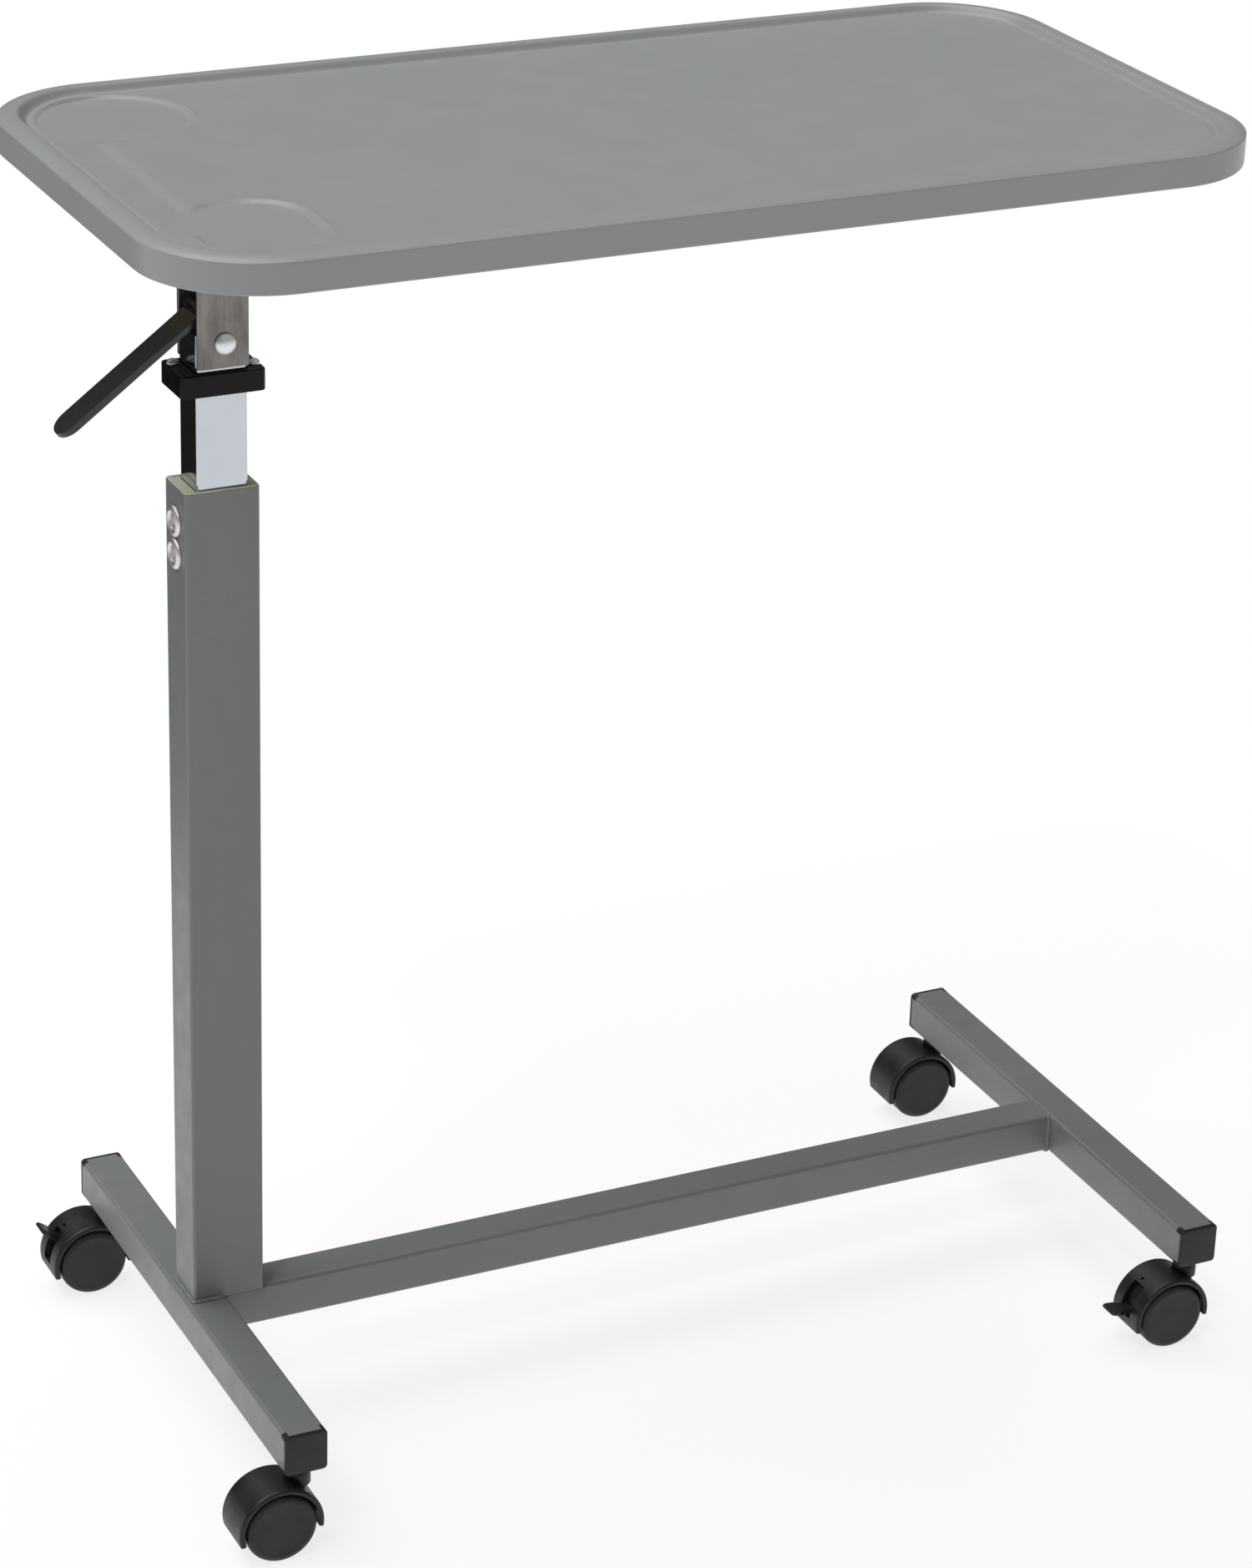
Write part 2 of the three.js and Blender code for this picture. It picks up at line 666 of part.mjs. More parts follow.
// One loop of the top's outline, pulled in by an inset, at a height.
function outlineLoop(inset, z, cornerSteps = 7) {
  const radius = Math.max(TOP.radius - inset, 1);
  const x = TOP.length / 2 - inset - radius;
  const y = TOP.width / 2 - inset - radius;
  const centres = [
    [x, y],
    [-x, y],
    [-x, -y],
    [x, -y],
  ];
  return centres.flatMap(([cx, cy], quarter) =>
    Array.from({ length: cornerSteps + 1 }, (_, i) => {
      const angle = ((quarter + i / cornerSteps) * Math.PI) / 2;
      return new THREE.Vector3(cx + radius * Math.cos(angle), cy + radius * Math.sin(angle), z);
    }),
  );
}

// A closed skin through the loops; the first and the last are closed with a fan to their middles.
function skin(loops) {
  const count = loops[0].length;
  const points = loops.flat();
  const first = points.push(new THREE.Vector3(0, 0, loops[0][0].z)) - 1;
  const last = points.push(new THREE.Vector3(0, 0, loops.at(-1)[0].z)) - 1;
  const index = [];
  for (let i = 0; i < count; i++) {
    const next = (i + 1) % count;
    const end = (loops.length - 1) * count;
    index.push(first, i, next, last, end + next, end + i);
    for (let row = 0; row < end; row += count) {
      index.push(row + i, row + count + i, row + count + next, row + i, row + count + next, row + next);
    }
  }
  const geometry = new THREE.BufferGeometry().setFromPoints(points);
  geometry.setIndex(index);
  return geometry;
}

function addTop() {
  const { skirt, rimWidth, rimHeight, edgeRound, footRound } = TRAY;
  const high = TOP.height;
  const low = high - TOP.thickness;
  const field = high - rimHeight;
  const under = field - TRAY.skin;
  const centreX = TOP.leftX + TOP.length / 2;
  const middleOfRound = edgeRound * (1 - Math.SQRT1_2);
  const profile = [
    [rimWidth + 5, field],
    [rimWidth + 3, field + 0.15 * rimHeight],
    [rimWidth, high - 0.12 * rimHeight],
    [rimWidth - 3, high],
    [edgeRound, high],
    [middleOfRound, high - middleOfRound],
    [0, high - edgeRound],
    [0, low + footRound],
    [footRound, low],
    [skirt, low],
    [skirt, under],
  ];
  const tray = skin(profile.map(([inset, z]) => outlineLoop(inset, z)));
  add("tabletop_tray", solid(tray.translate(centreX, 0, 0)), "topPlastic");

  const boardInset = skirt + GAP;
  const board = skin([outlineLoop(boardInset, BOARD_TOP), outlineLoop(boardInset, BOARD_BOTTOM)]);
  const pilotR = TOP_SCREW.shankR + GAP;
  const pilotTop = BOARD_BOTTOM + TOP_SCREW.bite + PAST;
  const pilots = screwPlaces().map(([x, y]) => post(x, y, BOARD_BOTTOM - PAST, pilotTop, pilotR));
  add("tabletop_core_board", cut(solid(board.translate(centreX, 0, 0)), ...pilots), "board");
}

// ---- assembly ----
addBase();
addColumn();
addSpringCylinder();
addCasters();
addMast();
addHead();
addLever();
addSupport();
addTop();

const bounds = new THREE.Box3().setFromObject(table);
table.position.x = -(bounds.min.x + bounds.max.x) / 2;

export default table;
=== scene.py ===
"""The looks of the overbed table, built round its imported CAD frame. Metres, +Z up, floor at Z = 0."""

import json
import math

import bmesh
import bpy
from mathutils import Matrix, Vector, noise


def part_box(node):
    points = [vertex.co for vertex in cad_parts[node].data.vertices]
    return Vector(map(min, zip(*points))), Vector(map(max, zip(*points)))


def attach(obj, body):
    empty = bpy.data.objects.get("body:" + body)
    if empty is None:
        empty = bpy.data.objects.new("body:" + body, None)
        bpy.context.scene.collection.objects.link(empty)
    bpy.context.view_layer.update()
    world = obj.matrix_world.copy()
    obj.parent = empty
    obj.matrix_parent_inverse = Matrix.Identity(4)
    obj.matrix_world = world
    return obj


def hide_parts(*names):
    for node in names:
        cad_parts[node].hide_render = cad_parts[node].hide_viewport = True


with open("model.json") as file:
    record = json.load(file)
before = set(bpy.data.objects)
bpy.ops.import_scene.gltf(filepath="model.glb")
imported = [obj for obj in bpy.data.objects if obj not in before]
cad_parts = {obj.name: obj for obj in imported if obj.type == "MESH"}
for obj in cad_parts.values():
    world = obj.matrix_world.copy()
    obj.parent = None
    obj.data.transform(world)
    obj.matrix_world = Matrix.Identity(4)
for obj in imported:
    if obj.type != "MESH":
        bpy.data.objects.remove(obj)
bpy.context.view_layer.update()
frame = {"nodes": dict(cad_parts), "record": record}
scene = bpy.context.scene

MM = 0.001
GAP = 0.3 * MM  # the clearance that the CAD keeps between touching pieces
PLACES = ("left_front", "left_back", "right_front", "right_back")
BRAKED = {"left_back": 141.0, "right_front": 171.0}  # the pedal's angle on its axle, in degrees

# ---- camera and studio ----
CAMERA = {
    "place": (-1.23825, -2.51451, 1.70989),
    "azimuth": 26.398,
    "pitch": 24.642,
    "roll": 1.89,
    "lens": 102.98,
    "clip_end": 90.0,
}
SUNS = {
    "soft_sun": {"direction": (-0.22, 0.24, 0.95), "strength": 2.46, "spread": 56.0},
    "edge_sun": {"direction": (-0.42, -0.36, 0.83), "strength": 0.50, "spread": 9.0},
}
WORLD_LIGHT = {"colour": (0.93, 1.0, 1.03), "strength": 0.13}
FLOOR = {"half": 45.0, "albedo": 0.20, "glow": 0.80}
CARD = ((-0.10, 0.85, 0.0), (-1.30, 0.85, 0.0), (-1.30, 1.0, 0.95), (-0.10, 1.0, 0.95))

# ---- sizes that the looks add to the frame's ----
def sizes(**values):
    """Named sizes, given in millimetres."""
    return {name: value * MM for name, value in values.items()}


FOOT = sizes(corner=3.0, wall=1.5, inset=0.1)
RAIL = sizes(corner=2.0, wall=1.5, inset=0.0)
COLUMN = sizes(corner=2.5, wall=1.3, edge=0.35)
MAST = sizes(corner=2.0, wall=1.3, edge=0.3)
WELD = sizes(radius=1.5, spine_radius=1.9, out=0.4, step=0.7)
WELD_SIDES = 8
CAP = sizes(plate=2.7, plug_corner=1.2, lead=1.0)
CAP_FACE = (  # (inset in millimetres, share of the plate's thickness), from its edge to its middle
    (0.0, 0.25),
    (0.0, 0.62),
    (0.35, 0.82),
    (1.0, 0.92),
    (3.0, 0.97),
    (7.5, 1.0),
    (13.0, 1.0),
)
EAR = sizes(reach=6.0, thick=0.45)
EAR_ARC = {"start": -12.0, "span": 114.0, "steps": 6}
AXLE_BORE = 3.3 * MM
WEB_HALF = 2.0 * MM
HOOD = sizes(outer=30.0, inner=26.3, half_width=17.5, edge=2.2, lip=0.5)
HOOD_ARC = (-8.0, 195.0)
SLOT = sizes(near=21.5, far=33.0, half=6.3)
SLOT_ARC = (130.0, 181.0)
SHIELD = sizes(near=24.7, far=25.8, half=5.5)
SHIELD_SPAN = 41.0
SHIELD_ROOM_ARC = (95.0, 132.0)
MOULDING_HOLE = sizes(radius=1.3, from_axle=28.0, aside=2.0)
MOULDING_HOLE_ANGLE = 122.0
PEDAL_TONGUE = (  # (reach, half width, half thickness) in millimetres
    (22.6, 5.8, 2.0),
    (24.0, 5.8, 2.0),
    (30.5, 5.8, 2.0),
    (34.0, 5.9, 2.0),
    (36.5, 6.9, 1.95),
    (38.5, 7.4, 1.85),
    (42.0, 7.5, 1.6),
    (44.6, 7.2, 1.3),
    (45.7, 6.4, 0.9),
    (46.0, 5.4, 0.5),
)
PEDAL_ARM = ((4.5, 3.5), (12.0, 3.3), (25.0, 3.2))  # (reach, half thickness) in millimetres
BRACKET = sizes(wall=2.5, bend=4.0, bevel=0.5)
LEVER = sizes(thick=4.5, hub=6.0, bore=2.8, edge=0.7)
LEVER_DROOP = 36.9
PLATE = sizes(corner=8.0, edge=0.4)
TRAY = sizes(
    radius=77.0,
    edge_round=1.6,
    crown=2.5,
    crown_from=11.0,
    rim_in=13.0,
    rim_out=19.5,
    rim_height=4.0,
    groove=0.7,
    groove_lead=4.4,
    field_inset=24.0,
    foot_round=1.5,
    skirt=4.0,
    skin=3.5,
)
FIELD = {"rows": 130, "corner_rows": 32, "fine_columns": 80, "coarse_columns": 46}
FIELD_FINE = 125.0 * MM  # the length that the fine columns cover
POCKET = sizes(
    back_radius=50.0,
    back_shift=3.5,
    front_half_x=39.0,
    front_half_y=50.0,
    front_corner=35.0,
    channel_right=49.0,
    fillet=8.0,
    depth=1.9,
    wall=3.4,
    channel_wall=9.0,
    lobe_blend=20.0,
    lip=0.42,
)


# ---- meshes ----
def link_mesh(name, verts, faces):
    mesh = bpy.data.meshes.new(name)
    mesh.from_pydata([tuple(v) for v in verts], [], faces)
    mesh.update()
    piece = bpy.data.objects.new(name, mesh)
    scene.collection.objects.link(piece)
    return piece


def face_out(piece):
    """Turns every face outwards and merges points that lie together."""
    shape = bmesh.new()
    shape.from_mesh(piece.data)
    bmesh.ops.remove_doubles(shape, verts=shape.verts, dist=1e-6)
    bmesh.ops.recalc_face_normals(shape, faces=shape.faces)
    shape.to_mesh(piece.data)
    shape.free()
    piece.data.update()


def apply_modifiers(piece):
    evaluated = piece.evaluated_get(bpy.context.evaluated_depsgraph_get())
    result = bpy.data.meshes.new_from_object(evaluated)
    piece.modifiers.clear()
    old = piece.data
    piece.data = result
    bpy.data.meshes.remove(old)


def smooth(piece, angle):
    """Smooth shading with crisp edges, where broad faces keep their own normals beside small bevels."""
    piece.data.shade_smooth()
    piece.data.set_sharp_from_angle(angle=math.radians(angle))
    weighing = piece.modifiers.new("weighing", "WEIGHTED_NORMAL")
    weighing.keep_sharp = True
    apply_modifiers(piece)


def settle(piece, look, body, nodes=(), angle=38.0):
    """Gives a finished mesh its material and body, and hides the CAD nodes that it stands for."""
    material, slot = look
    face_out(piece)
    smooth(piece, angle)
    piece.data.materials.clear()
    piece.data.materials.append(material)
    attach(piece, body)
    if nodes:
        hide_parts(*nodes)


def skin(name, loops, matrix=None, closed=False):
    """A mesh through loops of equal length, moved by a matrix. An open one is capped at both ends."""
    count = len(loops[0])
    verts = [v if matrix is None else matrix @ v for loop in loops for v in loop]
    faces = []
    rows = len(loops) if closed else len(loops) - 1
    for row in range(rows):
        here = row * count
        there = ((row + 1) % len(loops)) * count
        for i in range(count):
            j = (i + 1) % count
            faces.append((here + i, here + j, there + j, there + i))
    if not closed:
        last = (len(loops) - 1) * count
        faces.append(tuple(range(count - 1, -1, -1)))
        faces.append(tuple(range(last, last + count)))
    return link_mesh(name, verts, faces)


def round_rect(half_x, half_y, radius, steps=6, centre=(0.0, 0.0)):
    """Points of a rectangle with round corners, counter-clockwise."""
    radius = max(radius, 1e-5)
    points = []
    for quarter, (sx, sy) in enumerate(((1, 1), (-1, 1), (-1, -1), (1, -1))):
        for i in range(steps + 1):
            angle = (quarter + i / steps) * math.pi / 2
            x = sx * (half_x - radius) + radius * math.cos(angle)
            y = sy * (half_y - radius) + radius * math.sin(angle)
            points.append((centre[0] + x, centre[1] + y))
    return points


def at_height(points, z):
    return [Vector((x, y, z)) for x, y in points]


def wall_at(x, half_x, half_y, corner):
    """The section of an upright wall: its centre, its half sizes and its corner radius."""
    return (x, 0.0), half_x, half_y, corner


def sleeve(name, outer, inner, low, high, edge=0.3 * MM, matrix=None):
    """A tube along local Z between two walls, with softened ends."""

    def ring(wall, grow, z):
        centre, half_x, half_y, corner = wall
        return at_height(round_rect(half_x + grow, half_y + grow, corner + grow, centre=centre), z)

    soft = edge * 0.3
    loops = [
        ring(outer, 0, low + edge),
        ring(outer, 0, high - edge),
        ring(outer, -soft, high - soft),
        ring(outer, -edge, high),
        ring(inner, edge, high),
        ring(inner, soft, high - soft),
        ring(inner, 0, high - edge),
        ring(inner, 0, low + edge),
        ring(inner, soft, low + soft),
        ring(inner, edge, low),
        ring(outer, -edge, low),
        ring(outer, -soft, low + soft),
    ]
    return skin(name, loops, matrix, closed=True)


def ringed(name, levels):
    """A closed upright ring from (wall, growth, base, height) levels, growth and height in millimetres."""
    loops = []
    for (centre, half_x, half_y, corner), grow, base, height in levels:
        grow *= MM
        section = round_rect(half_x + grow, half_y + grow, corner + 0.5 * grow, centre=centre)
        loops.append(at_height(section, base + height * MM))
    return skin(name, loops, closed=True)


def slab(name, outline, low, high, edge):
    """A solid plate. outline(inset) gives its outline pulled in by an inset."""
    soft = edge * 0.3
    below = [(edge, low), (soft, low + soft), (0, low + edge)]
    above = [(0, high - edge), (soft, high - soft), (edge, high)]
    return skin(name, [at_height(outline(inset), z) for inset, z in below + above])


def profile(base, *pairs, rim=0.0):
    """Turned points from (radius, height) pairs in millimetres, over a rim radius and a base height."""
    return [(rim + radius * MM, base + height * MM) for radius, height in pairs]


def plain_profile(radius, low, high):
    """The turned points of a plain cylinder."""
    return [(0, low), (radius, low), (radius, high), (0, high)]


def turned(name, points, sides=48, matrix=None):
    """A solid turned about local Z. points are (radius, height) pairs, from the axis to the axis."""
    circle = [(math.cos(2 * math.pi * i / sides), math.sin(2 * math.pi * i / sides)) for i in range(sides)]
    loops = []
    for radius, height in points:
        radius = max(radius, 1e-5)
        loops.append([Vector((radius * x, radius * y, height)) for x, y in circle])
    return skin(name, loops, matrix)


def swept(name, section, arc, steps):
    """A section of (radius, y) points, swept about the Y axis between two angles in degrees."""
    start, end = arc
    loops = []
    for i in range(steps + 1):
        a = math.radians(start + (end - start) * i / steps)
        loops.append([Vector((r * math.cos(a), y, r * math.sin(a))) for r, y in section])
    return skin(name, loops)


def block_section(near, far, half):
    """The swept section of a plain block."""
    return [(near, -half), (far, -half), (far, half), (near, half)]


def boolean(piece, tool, operation):
    """Changes piece with tool, and removes tool."""
    for shape in (piece, tool):
        face_out(shape)
    modifier = piece.modifiers.new("cut", "BOOLEAN")
    modifier.object = tool
    modifier.operation = operation
    modifier.solver = "EXACT"
    apply_modifiers(piece)
    bpy.data.objects.remove(tool)


def cut(piece, tool):
    boolean(piece, tool, "DIFFERENCE")


def fuse(piece, tool):
    boolean(piece, tool, "UNION")


def join(piece, *others):
    """Adds the other meshes to piece as they are."""
    shape = bmesh.new()
    shape.from_mesh(piece.data)
    for other in others:
        shape.from_mesh(other.data)
        bpy.data.objects.remove(other)
    shape.to_mesh(piece.data)
    shape.free()


def box_of(node):
    low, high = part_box(node)
    return low, high, (low + high) / 2, (high - low) / 2


def upright(point):
    """Moves an upright piece that is built round the Z axis to a point's place in plan."""
    return Matrix.Translation((point.x, point.y, 0))


ALONG_X = Matrix(((0, 0, 1, 0), (1, 0, 0, 0), (0, 1, 0, 0), (0, 0, 0, 1)))  # local Z to +X
ALONG_Y = Matrix(((1, 0, 0, 0), (0, 0, 1, 0), (0, -1, 0, 0), (0, 0, 0, 1)))  # local Z to +Y
FACING = {1: ALONG_Y, -1: ALONG_Y @ Matrix.Rotation(math.pi, 4, "X")}  # local Z to the back or the front


# ---- materials ----
class Finish:
    """A material with one Principled shader, and short ways to build its pattern."""

    def __init__(self, name, **sockets):
        self.material = bpy.data.materials.new(name)
        self.material.use_nodes = True
        self.tree = self.material.node_tree
        self.shader = self.tree.nodes["Principled BSDF"]
        self.place = self.node("ShaderNodeTexCoord").outputs["Object"]
        self.height = None
        for socket, value in sockets.items():
            self.shader.inputs[socket.replace("_", " ")].default_value = value

    def node(self, kind, **values):
        """A node with its unlinked sockets set. An underscore in a socket's name stands for a space."""
        made = self.tree.nodes.new(kind)
        for socket, value in values.items():
            made.inputs[socket.replace("_", " ")].default_value = value
        return made

    def link(self, source, target):
        self.tree.links.new(source, target)

    def pattern(self, made, output, stretch):
        place = self.place
        if stretch is not None:
            mapping = self.node("ShaderNodeMapping", Scale=stretch)
            self.link(place, mapping.inputs["Vector"])
            place = mapping.outputs["Vector"]
        self.link(place, made.inputs["Vector"])
        return made.outputs[output]

    def noise(self, scale, detail=2.0, rough=0.5, stretch=None):
        made = self.node("ShaderNodeTexNoise", Scale=scale, Detail=detail, Roughness=rough)
        return self.pattern(made, "Fac", stretch)

    def cells(self, scale, stretch=None):
        return self.pattern(self.node("ShaderNodeTexVoronoi", Scale=scale), "Distance", stretch)

    def span(self, value, low, high, start=0.3, end=0.7):
        """A value's middle range, spread over low to high."""
        made = self.node("ShaderNodeMapRange", From_Min=start, From_Max=end, To_Min=low, To_Max=high)
        self.link(value, made.inputs["Value"])
        return made.outputs["Result"]

    def tone(self, value, first, second, most=1.0, start=0.3, end=0.7):
        """The first colour, which the value's middle range turns into the second, up to a share."""
        made = self.tree.nodes.new("ShaderNodeMix")
        made.data_type = "RGBA"
        self.link(self.span(value, 0, most, start, end), made.inputs[0])
        for socket, colour in ((made.inputs[6], first), (made.inputs[7], second)):
            if isinstance(colour, tuple):
                socket.default_value = (*colour, 1.0)
            else:
                self.link(colour, socket)
        return made.outputs[2]

    def colour(self, output):
        self.link(output, self.shader.inputs["Base Color"])

    def rough(self, value, low, high):
        self.link(self.span(value, low, high), self.shader.inputs["Roughness"])

    def bump(self, value, depth, strength):
        """Adds a relief of the given depth in metres on what is there already."""
        made = self.node("ShaderNodeBump", Distance=depth, Strength=strength)
        self.link(value, made.inputs["Height"])
        if self.height is not None:
            self.link(self.height, made.inputs["Normal"])
        self.height = made.outputs["Normal"]
        self.link(self.height, self.shader.inputs["Normal"])


def powder_coat():
    """Satin grey-green powder coat: orange peel, a fine speckle and a faint drift of tone."""
    finish = Finish("powder_coat", Metallic=0.0, Coat_Weight=0.12, Coat_Roughness=0.3)
    drift = finish.tone(finish.noise(5.0), (0.178, 0.192, 0.184), (0.202, 0.212, 0.202))
    finish.colour(finish.tone(finish.noise(1600.0, 3.0), drift, (0.172, 0.186, 0.178), 1.0, 0.42, 0.62))
    finish.rough(finish.noise(60.0, 3.0), 0.36, 0.5)
    finish.bump(finish.noise(420.0, 2.0), 0.05 * MM, 0.6)
    finish.bump(finish.noise(2200.0, 2.0), 0.012 * MM, 0.5)
    return finish.material


def tray_plastic():
    """Moulded satin grey plastic with a fine leather-like grain."""
    finish = Finish("tray_plastic", Specular_IOR_Level=0.42)
    grain = finish.noise(1300.0, 3.0, 0.6)
    drift = finish.tone(finish.noise(7.0, 3.0), (0.300, 0.318, 0.310), (0.332, 0.340, 0.332))
    finish.colour(finish.tone(grain, drift, (0.318, 0.326, 0.320), 1.0, 0.35, 0.65))
    finish.rough(finish.noise(35.0, 4.0), 0.31, 0.40)
    finish.bump(finish.cells(1000.0), 0.02 * MM, 0.35)
    finish.bump(grain, 0.02 * MM, 0.4)
    return finish.material


def black_plastic(name, base, rough, gloss):
    """Moulded black plastic with a spark-eroded grain."""
    finish = Finish(name, Specular_IOR_Level=gloss)
    lighter = tuple(1.45 * c for c in base)
    finish.colour(finish.tone(finish.noise(25.0, 4.0), base, lighter))
    finish.rough(finish.noise(90.0, 4.0), rough - 0.06, rough + 0.1)
    finish.bump(finish.noise(1900.0, 3.0, 0.7), 0.03 * MM, 0.45)
    return finish.material


def plated(name, base, rough, streak, stain=0.82):
    """Bright plating with drawing streaks along Z and a faint cloud."""
    finish = Finish(name, Metallic=1.0)
    lines = finish.noise(900.0, 3.0, 0.6, stretch=(1.0, 1.0, 0.012))
    darker = tuple(stain * c for c in base)
    finish.colour(finish.tone(finish.noise(30.0, 3.0), darker, base))
    finish.rough(lines, rough, rough + streak)
    finish.bump(lines, 0.004 * MM, 0.5)
    return finish.material


def brushed_dark():
    """Dark plated sheet steel, brushed upright, with painted reflections: long upright patches of lighter and
    darker warm tone.
    """
    finish = Finish("brushed_dark", Metallic=1.0)
    lines = finish.noise(1200.0, 4.0, 0.65, stretch=(1.0, 1.0, 0.02))
    # Painted reflections: randomly placed upright patches, lighter and darker, in place of the bright and
    # dark bands that the plate reflects.
    reflection_band_noise = finish.noise(55.0, 4.0, 0.6, stretch=(1.0, 1.0, 0.45))
    painted_reflection_bands = finish.tone(reflection_band_noise, (0.064, 0.057, 0.053), (0.285, 0.266, 0.249))
    finish.colour(finish.tone(lines, painted_reflection_bands, (0.31, 0.29, 0.272), 0.5))
    finish.rough(lines, 0.3, 0.48)
    finish.bump(lines, 0.01 * MM, 0.5)
    return finish.material


def zinc_steel():
    """Zinc plated steel with a cloudy, slightly crystalline surface."""
    finish = Finish("zinc_steel", Metallic=1.0)
    cloud = finish.noise(40.0, 4.0)
    flakes = finish.tone(finish.cells(240.0), (0.42, 0.43, 0.45), (0.56, 0.57, 0.58), 1.0, 0.1, 0.8)
    finish.colour(finish.tone(cloud, flakes, (0.48, 0.47, 0.44), 0.6))
    finish.rough(cloud, 0.28, 0.46)
    finish.bump(finish.noise(800.0, 2.0), 0.01 * MM, 0.4)
    return finish.material


def guide_plastic():
    """Pale green-grey natural plastic, slightly soapy."""
    finish = Finish("guide_plastic", Subsurface_Weight=0.15, Subsurface_Scale=0.002)
    finish.colour(finish.tone(finish.noise(120.0, 3.0), (0.60, 0.67, 0.48), (0.72, 0.77, 0.60)))
    finish.rough(finish.noise(300.0, 2.0), 0.42, 0.55)
    finish.bump(finish.noise(900.0, 2.0), 0.02 * MM, 0.4)
    return finish.material


def pressed_board():
    """Raw pressed board: short fibres in two tones."""
    finish = Finish("pressed_board")
    fibres = finish.noise(700.0, 5.0, 0.7, stretch=(1.0, 0.35, 1.0))
    chips = finish.cells(330.0, stretch=(1.0, 0.6, 1.0))
    mix = finish.tone(fibres, (0.30, 0.20, 0.11), (0.52, 0.38, 0.24))
    finish.colour(finish.tone(chips, mix, (0.42, 0.30, 0.18), 0.5, 0.1, 0.8))
    finish.rough(fibres, 0.7, 0.9)
    finish.bump(fibres, 0.08 * MM, 0.6)
    return finish.material


def lever_sleeve():
    """Dipped dark sleeve on the lever, with paler patches."""
    finish = Finish("lever_sleeve", Specular_IOR_Level=0.6)
    finish.colour(finish.tone(finish.noise(45.0, 4.0), (0.0075, 0.0062, 0.0058), (0.0140, 0.0118, 0.0112)))
    finish.rough(finish.noise(200.0, 3.0), 0.24, 0.34)
    finish.bump(finish.noise(1100.0, 3.0), 0.03 * MM, 0.4)
    return finish.material


# Each look is a material and the record's slot that it belongs to.
PAINT = (powder_coat(), "frame_paint")
TOP = (tray_plastic(), "top_plastic")
BLACK = (black_plastic("moulded_black", (0.0105, 0.0098, 0.0112), 0.40, 0.38), "black_plastic")
COLLAR_BLACK = (black_plastic("collar_black", (0.0050, 0.0050, 0.0060), 0.30, 0.16), "black_plastic")
WHEEL = (black_plastic("wheel_black", (0.0165, 0.0150, 0.0172), 0.46, 0.35), "wheel_plastic")
MAST_PLATE = (plated("mast_plating", (0.56, 0.59, 0.635), 0.11, 0.04, stain=0.94), "plated_steel")
BRIGHT = (plated("screw_plating", (0.86, 0.89, 0.92), 0.42, 0.10), "plated_steel")
PEARL = (plated("pearl_nickel", (0.88, 0.83, 0.82), 0.40, 0.12), "plated_steel")
DARK = (brushed_dark(), "dark_metal")
DARK_STEM = (DARK[0], "steel")
ZINC = (zinc_steel(), "steel")
GUIDE = (guide_plastic(), "guide_plastic")
BOARD = (pressed_board(), "core_board")
SLEEVE = (lever_sleeve(), "lever_sleeve")
SLOT_LOOKS = (PAINT, TOP, BLACK, WHEEL, BRIGHT, DARK, ZINC, GUIDE, BOARD, SLEEVE)
MATERIAL_OF = {slot: material for material, slot in SLOT_LOOKS}


def dress_cad_nodes():
    """Every CAD node takes the finish of its slot, so that the ones that stay are finished too."""
    for part in frame["record"]["subparts"]:
        node = frame["nodes"][part["node"]]
        node.data.materials.clear()
        node.data.materials.append(MATERIAL_OF[part["material_slot"]])


# ---- base frame ----
def lying_tube(name, node, along_x, size, look, body):
    """A square tube along X or Y in place of a CAD node."""
    low, high, middle, half = box_of(node)
    if along_x:
        matrix = Matrix.Translation((0, middle.y, middle.z)) @ ALONG_X
        reach, start, end = half.y, low.x, high.x
    else:
        matrix = Matrix.Translation((middle.x, 0, middle.z)) @ ALONG_Y
        reach, start, end = half.x, low.y, high.y
    reach -= size["inset"]
    inside = reach - size["wall"]
    outer = wall_at(0.0, reach, reach, size["corner"])
    inner = wall_at(0.0, inside, inside, size["corner"] - size["wall"])
    settle(sleeve(name, outer, inner, start, end, matrix=matrix), look, body, [node])


def upright_tube(name, node, size, look, body):
    """A rectangular tube that stands in place of a CAD node."""
    low, high, middle, half = box_of(node)
    wall = size["wall"]
    outer = wall_at(middle.x, half.x, half.y, size["corner"])
    inner = wall_at(middle.x, half.x - wall, half.y - wall, size["corner"] - wall)
    settle(sleeve(name, outer, inner, low.z, high.z, size["edge"]), look, body, [node])


def add_base_tubes():
    for side in ("left", "right"):
        lying_tube(f"{side}_foot", f"{side}_foot_tube", False, FOOT, PAINT, "base")
    lying_tube("spine", "spine_tube", True, FOOT, PAINT, "base")


def add_column():
    """The column, and the guide bush in its mouth with a flange over the column's end."""
    upright_tube("column", "outer_column", COLUMN, PAINT, "base")
    low, high, middle, half = box_of("column_guide_bush")
    _, _, mast, mast_half = box_of("mast_tube")
    _, column_high, _, column_half = box_of("outer_column")
    corner = COLUMN["corner"]
    flange = wall_at(middle.x, column_half.x - GAP, column_half.y - GAP, corner)
    plug = wall_at(middle.x, half.x, half.y, corner - COLUMN["wall"])
    bore = wall_at(mast.x, mast_half.x + GAP, mast_half.y + GAP, MAST["corner"])
    recess = wall_at(middle.x, half.x - 3.0 * MM, half.y - 0.6 * MM, 2.0 * MM)
    seat = column_high.z + 0.05 * MM
    levels = [
        (plug, -0.5, low.z, 0.0),
        (plug, 0.0, low.z, 0.5),
        (plug, 0.0, seat, 0.0),
        (flange, -0.2, seat, 0.0),
        (flange, 0.0, seat, 0.2),
        (flange, -0.1, high.z, -0.2),
        (flange, -0.5, high.z, 0.0),
        (recess, 0.5, high.z, 0.0),
        (recess, 0.0, high.z, -0.5),
        (recess, -0.2, high.z, -1.0),
        (bore, 0.2, high.z, -1.1),
        (bore, 0.0, high.z, -1.4),
        (bore, 0.0, low.z, 0.5),
        (bore, 0.4, low.z, 0.0),
    ]
    settle(ringed("guide_bush", levels), GUIDE, "base", ["column_guide_bush"])


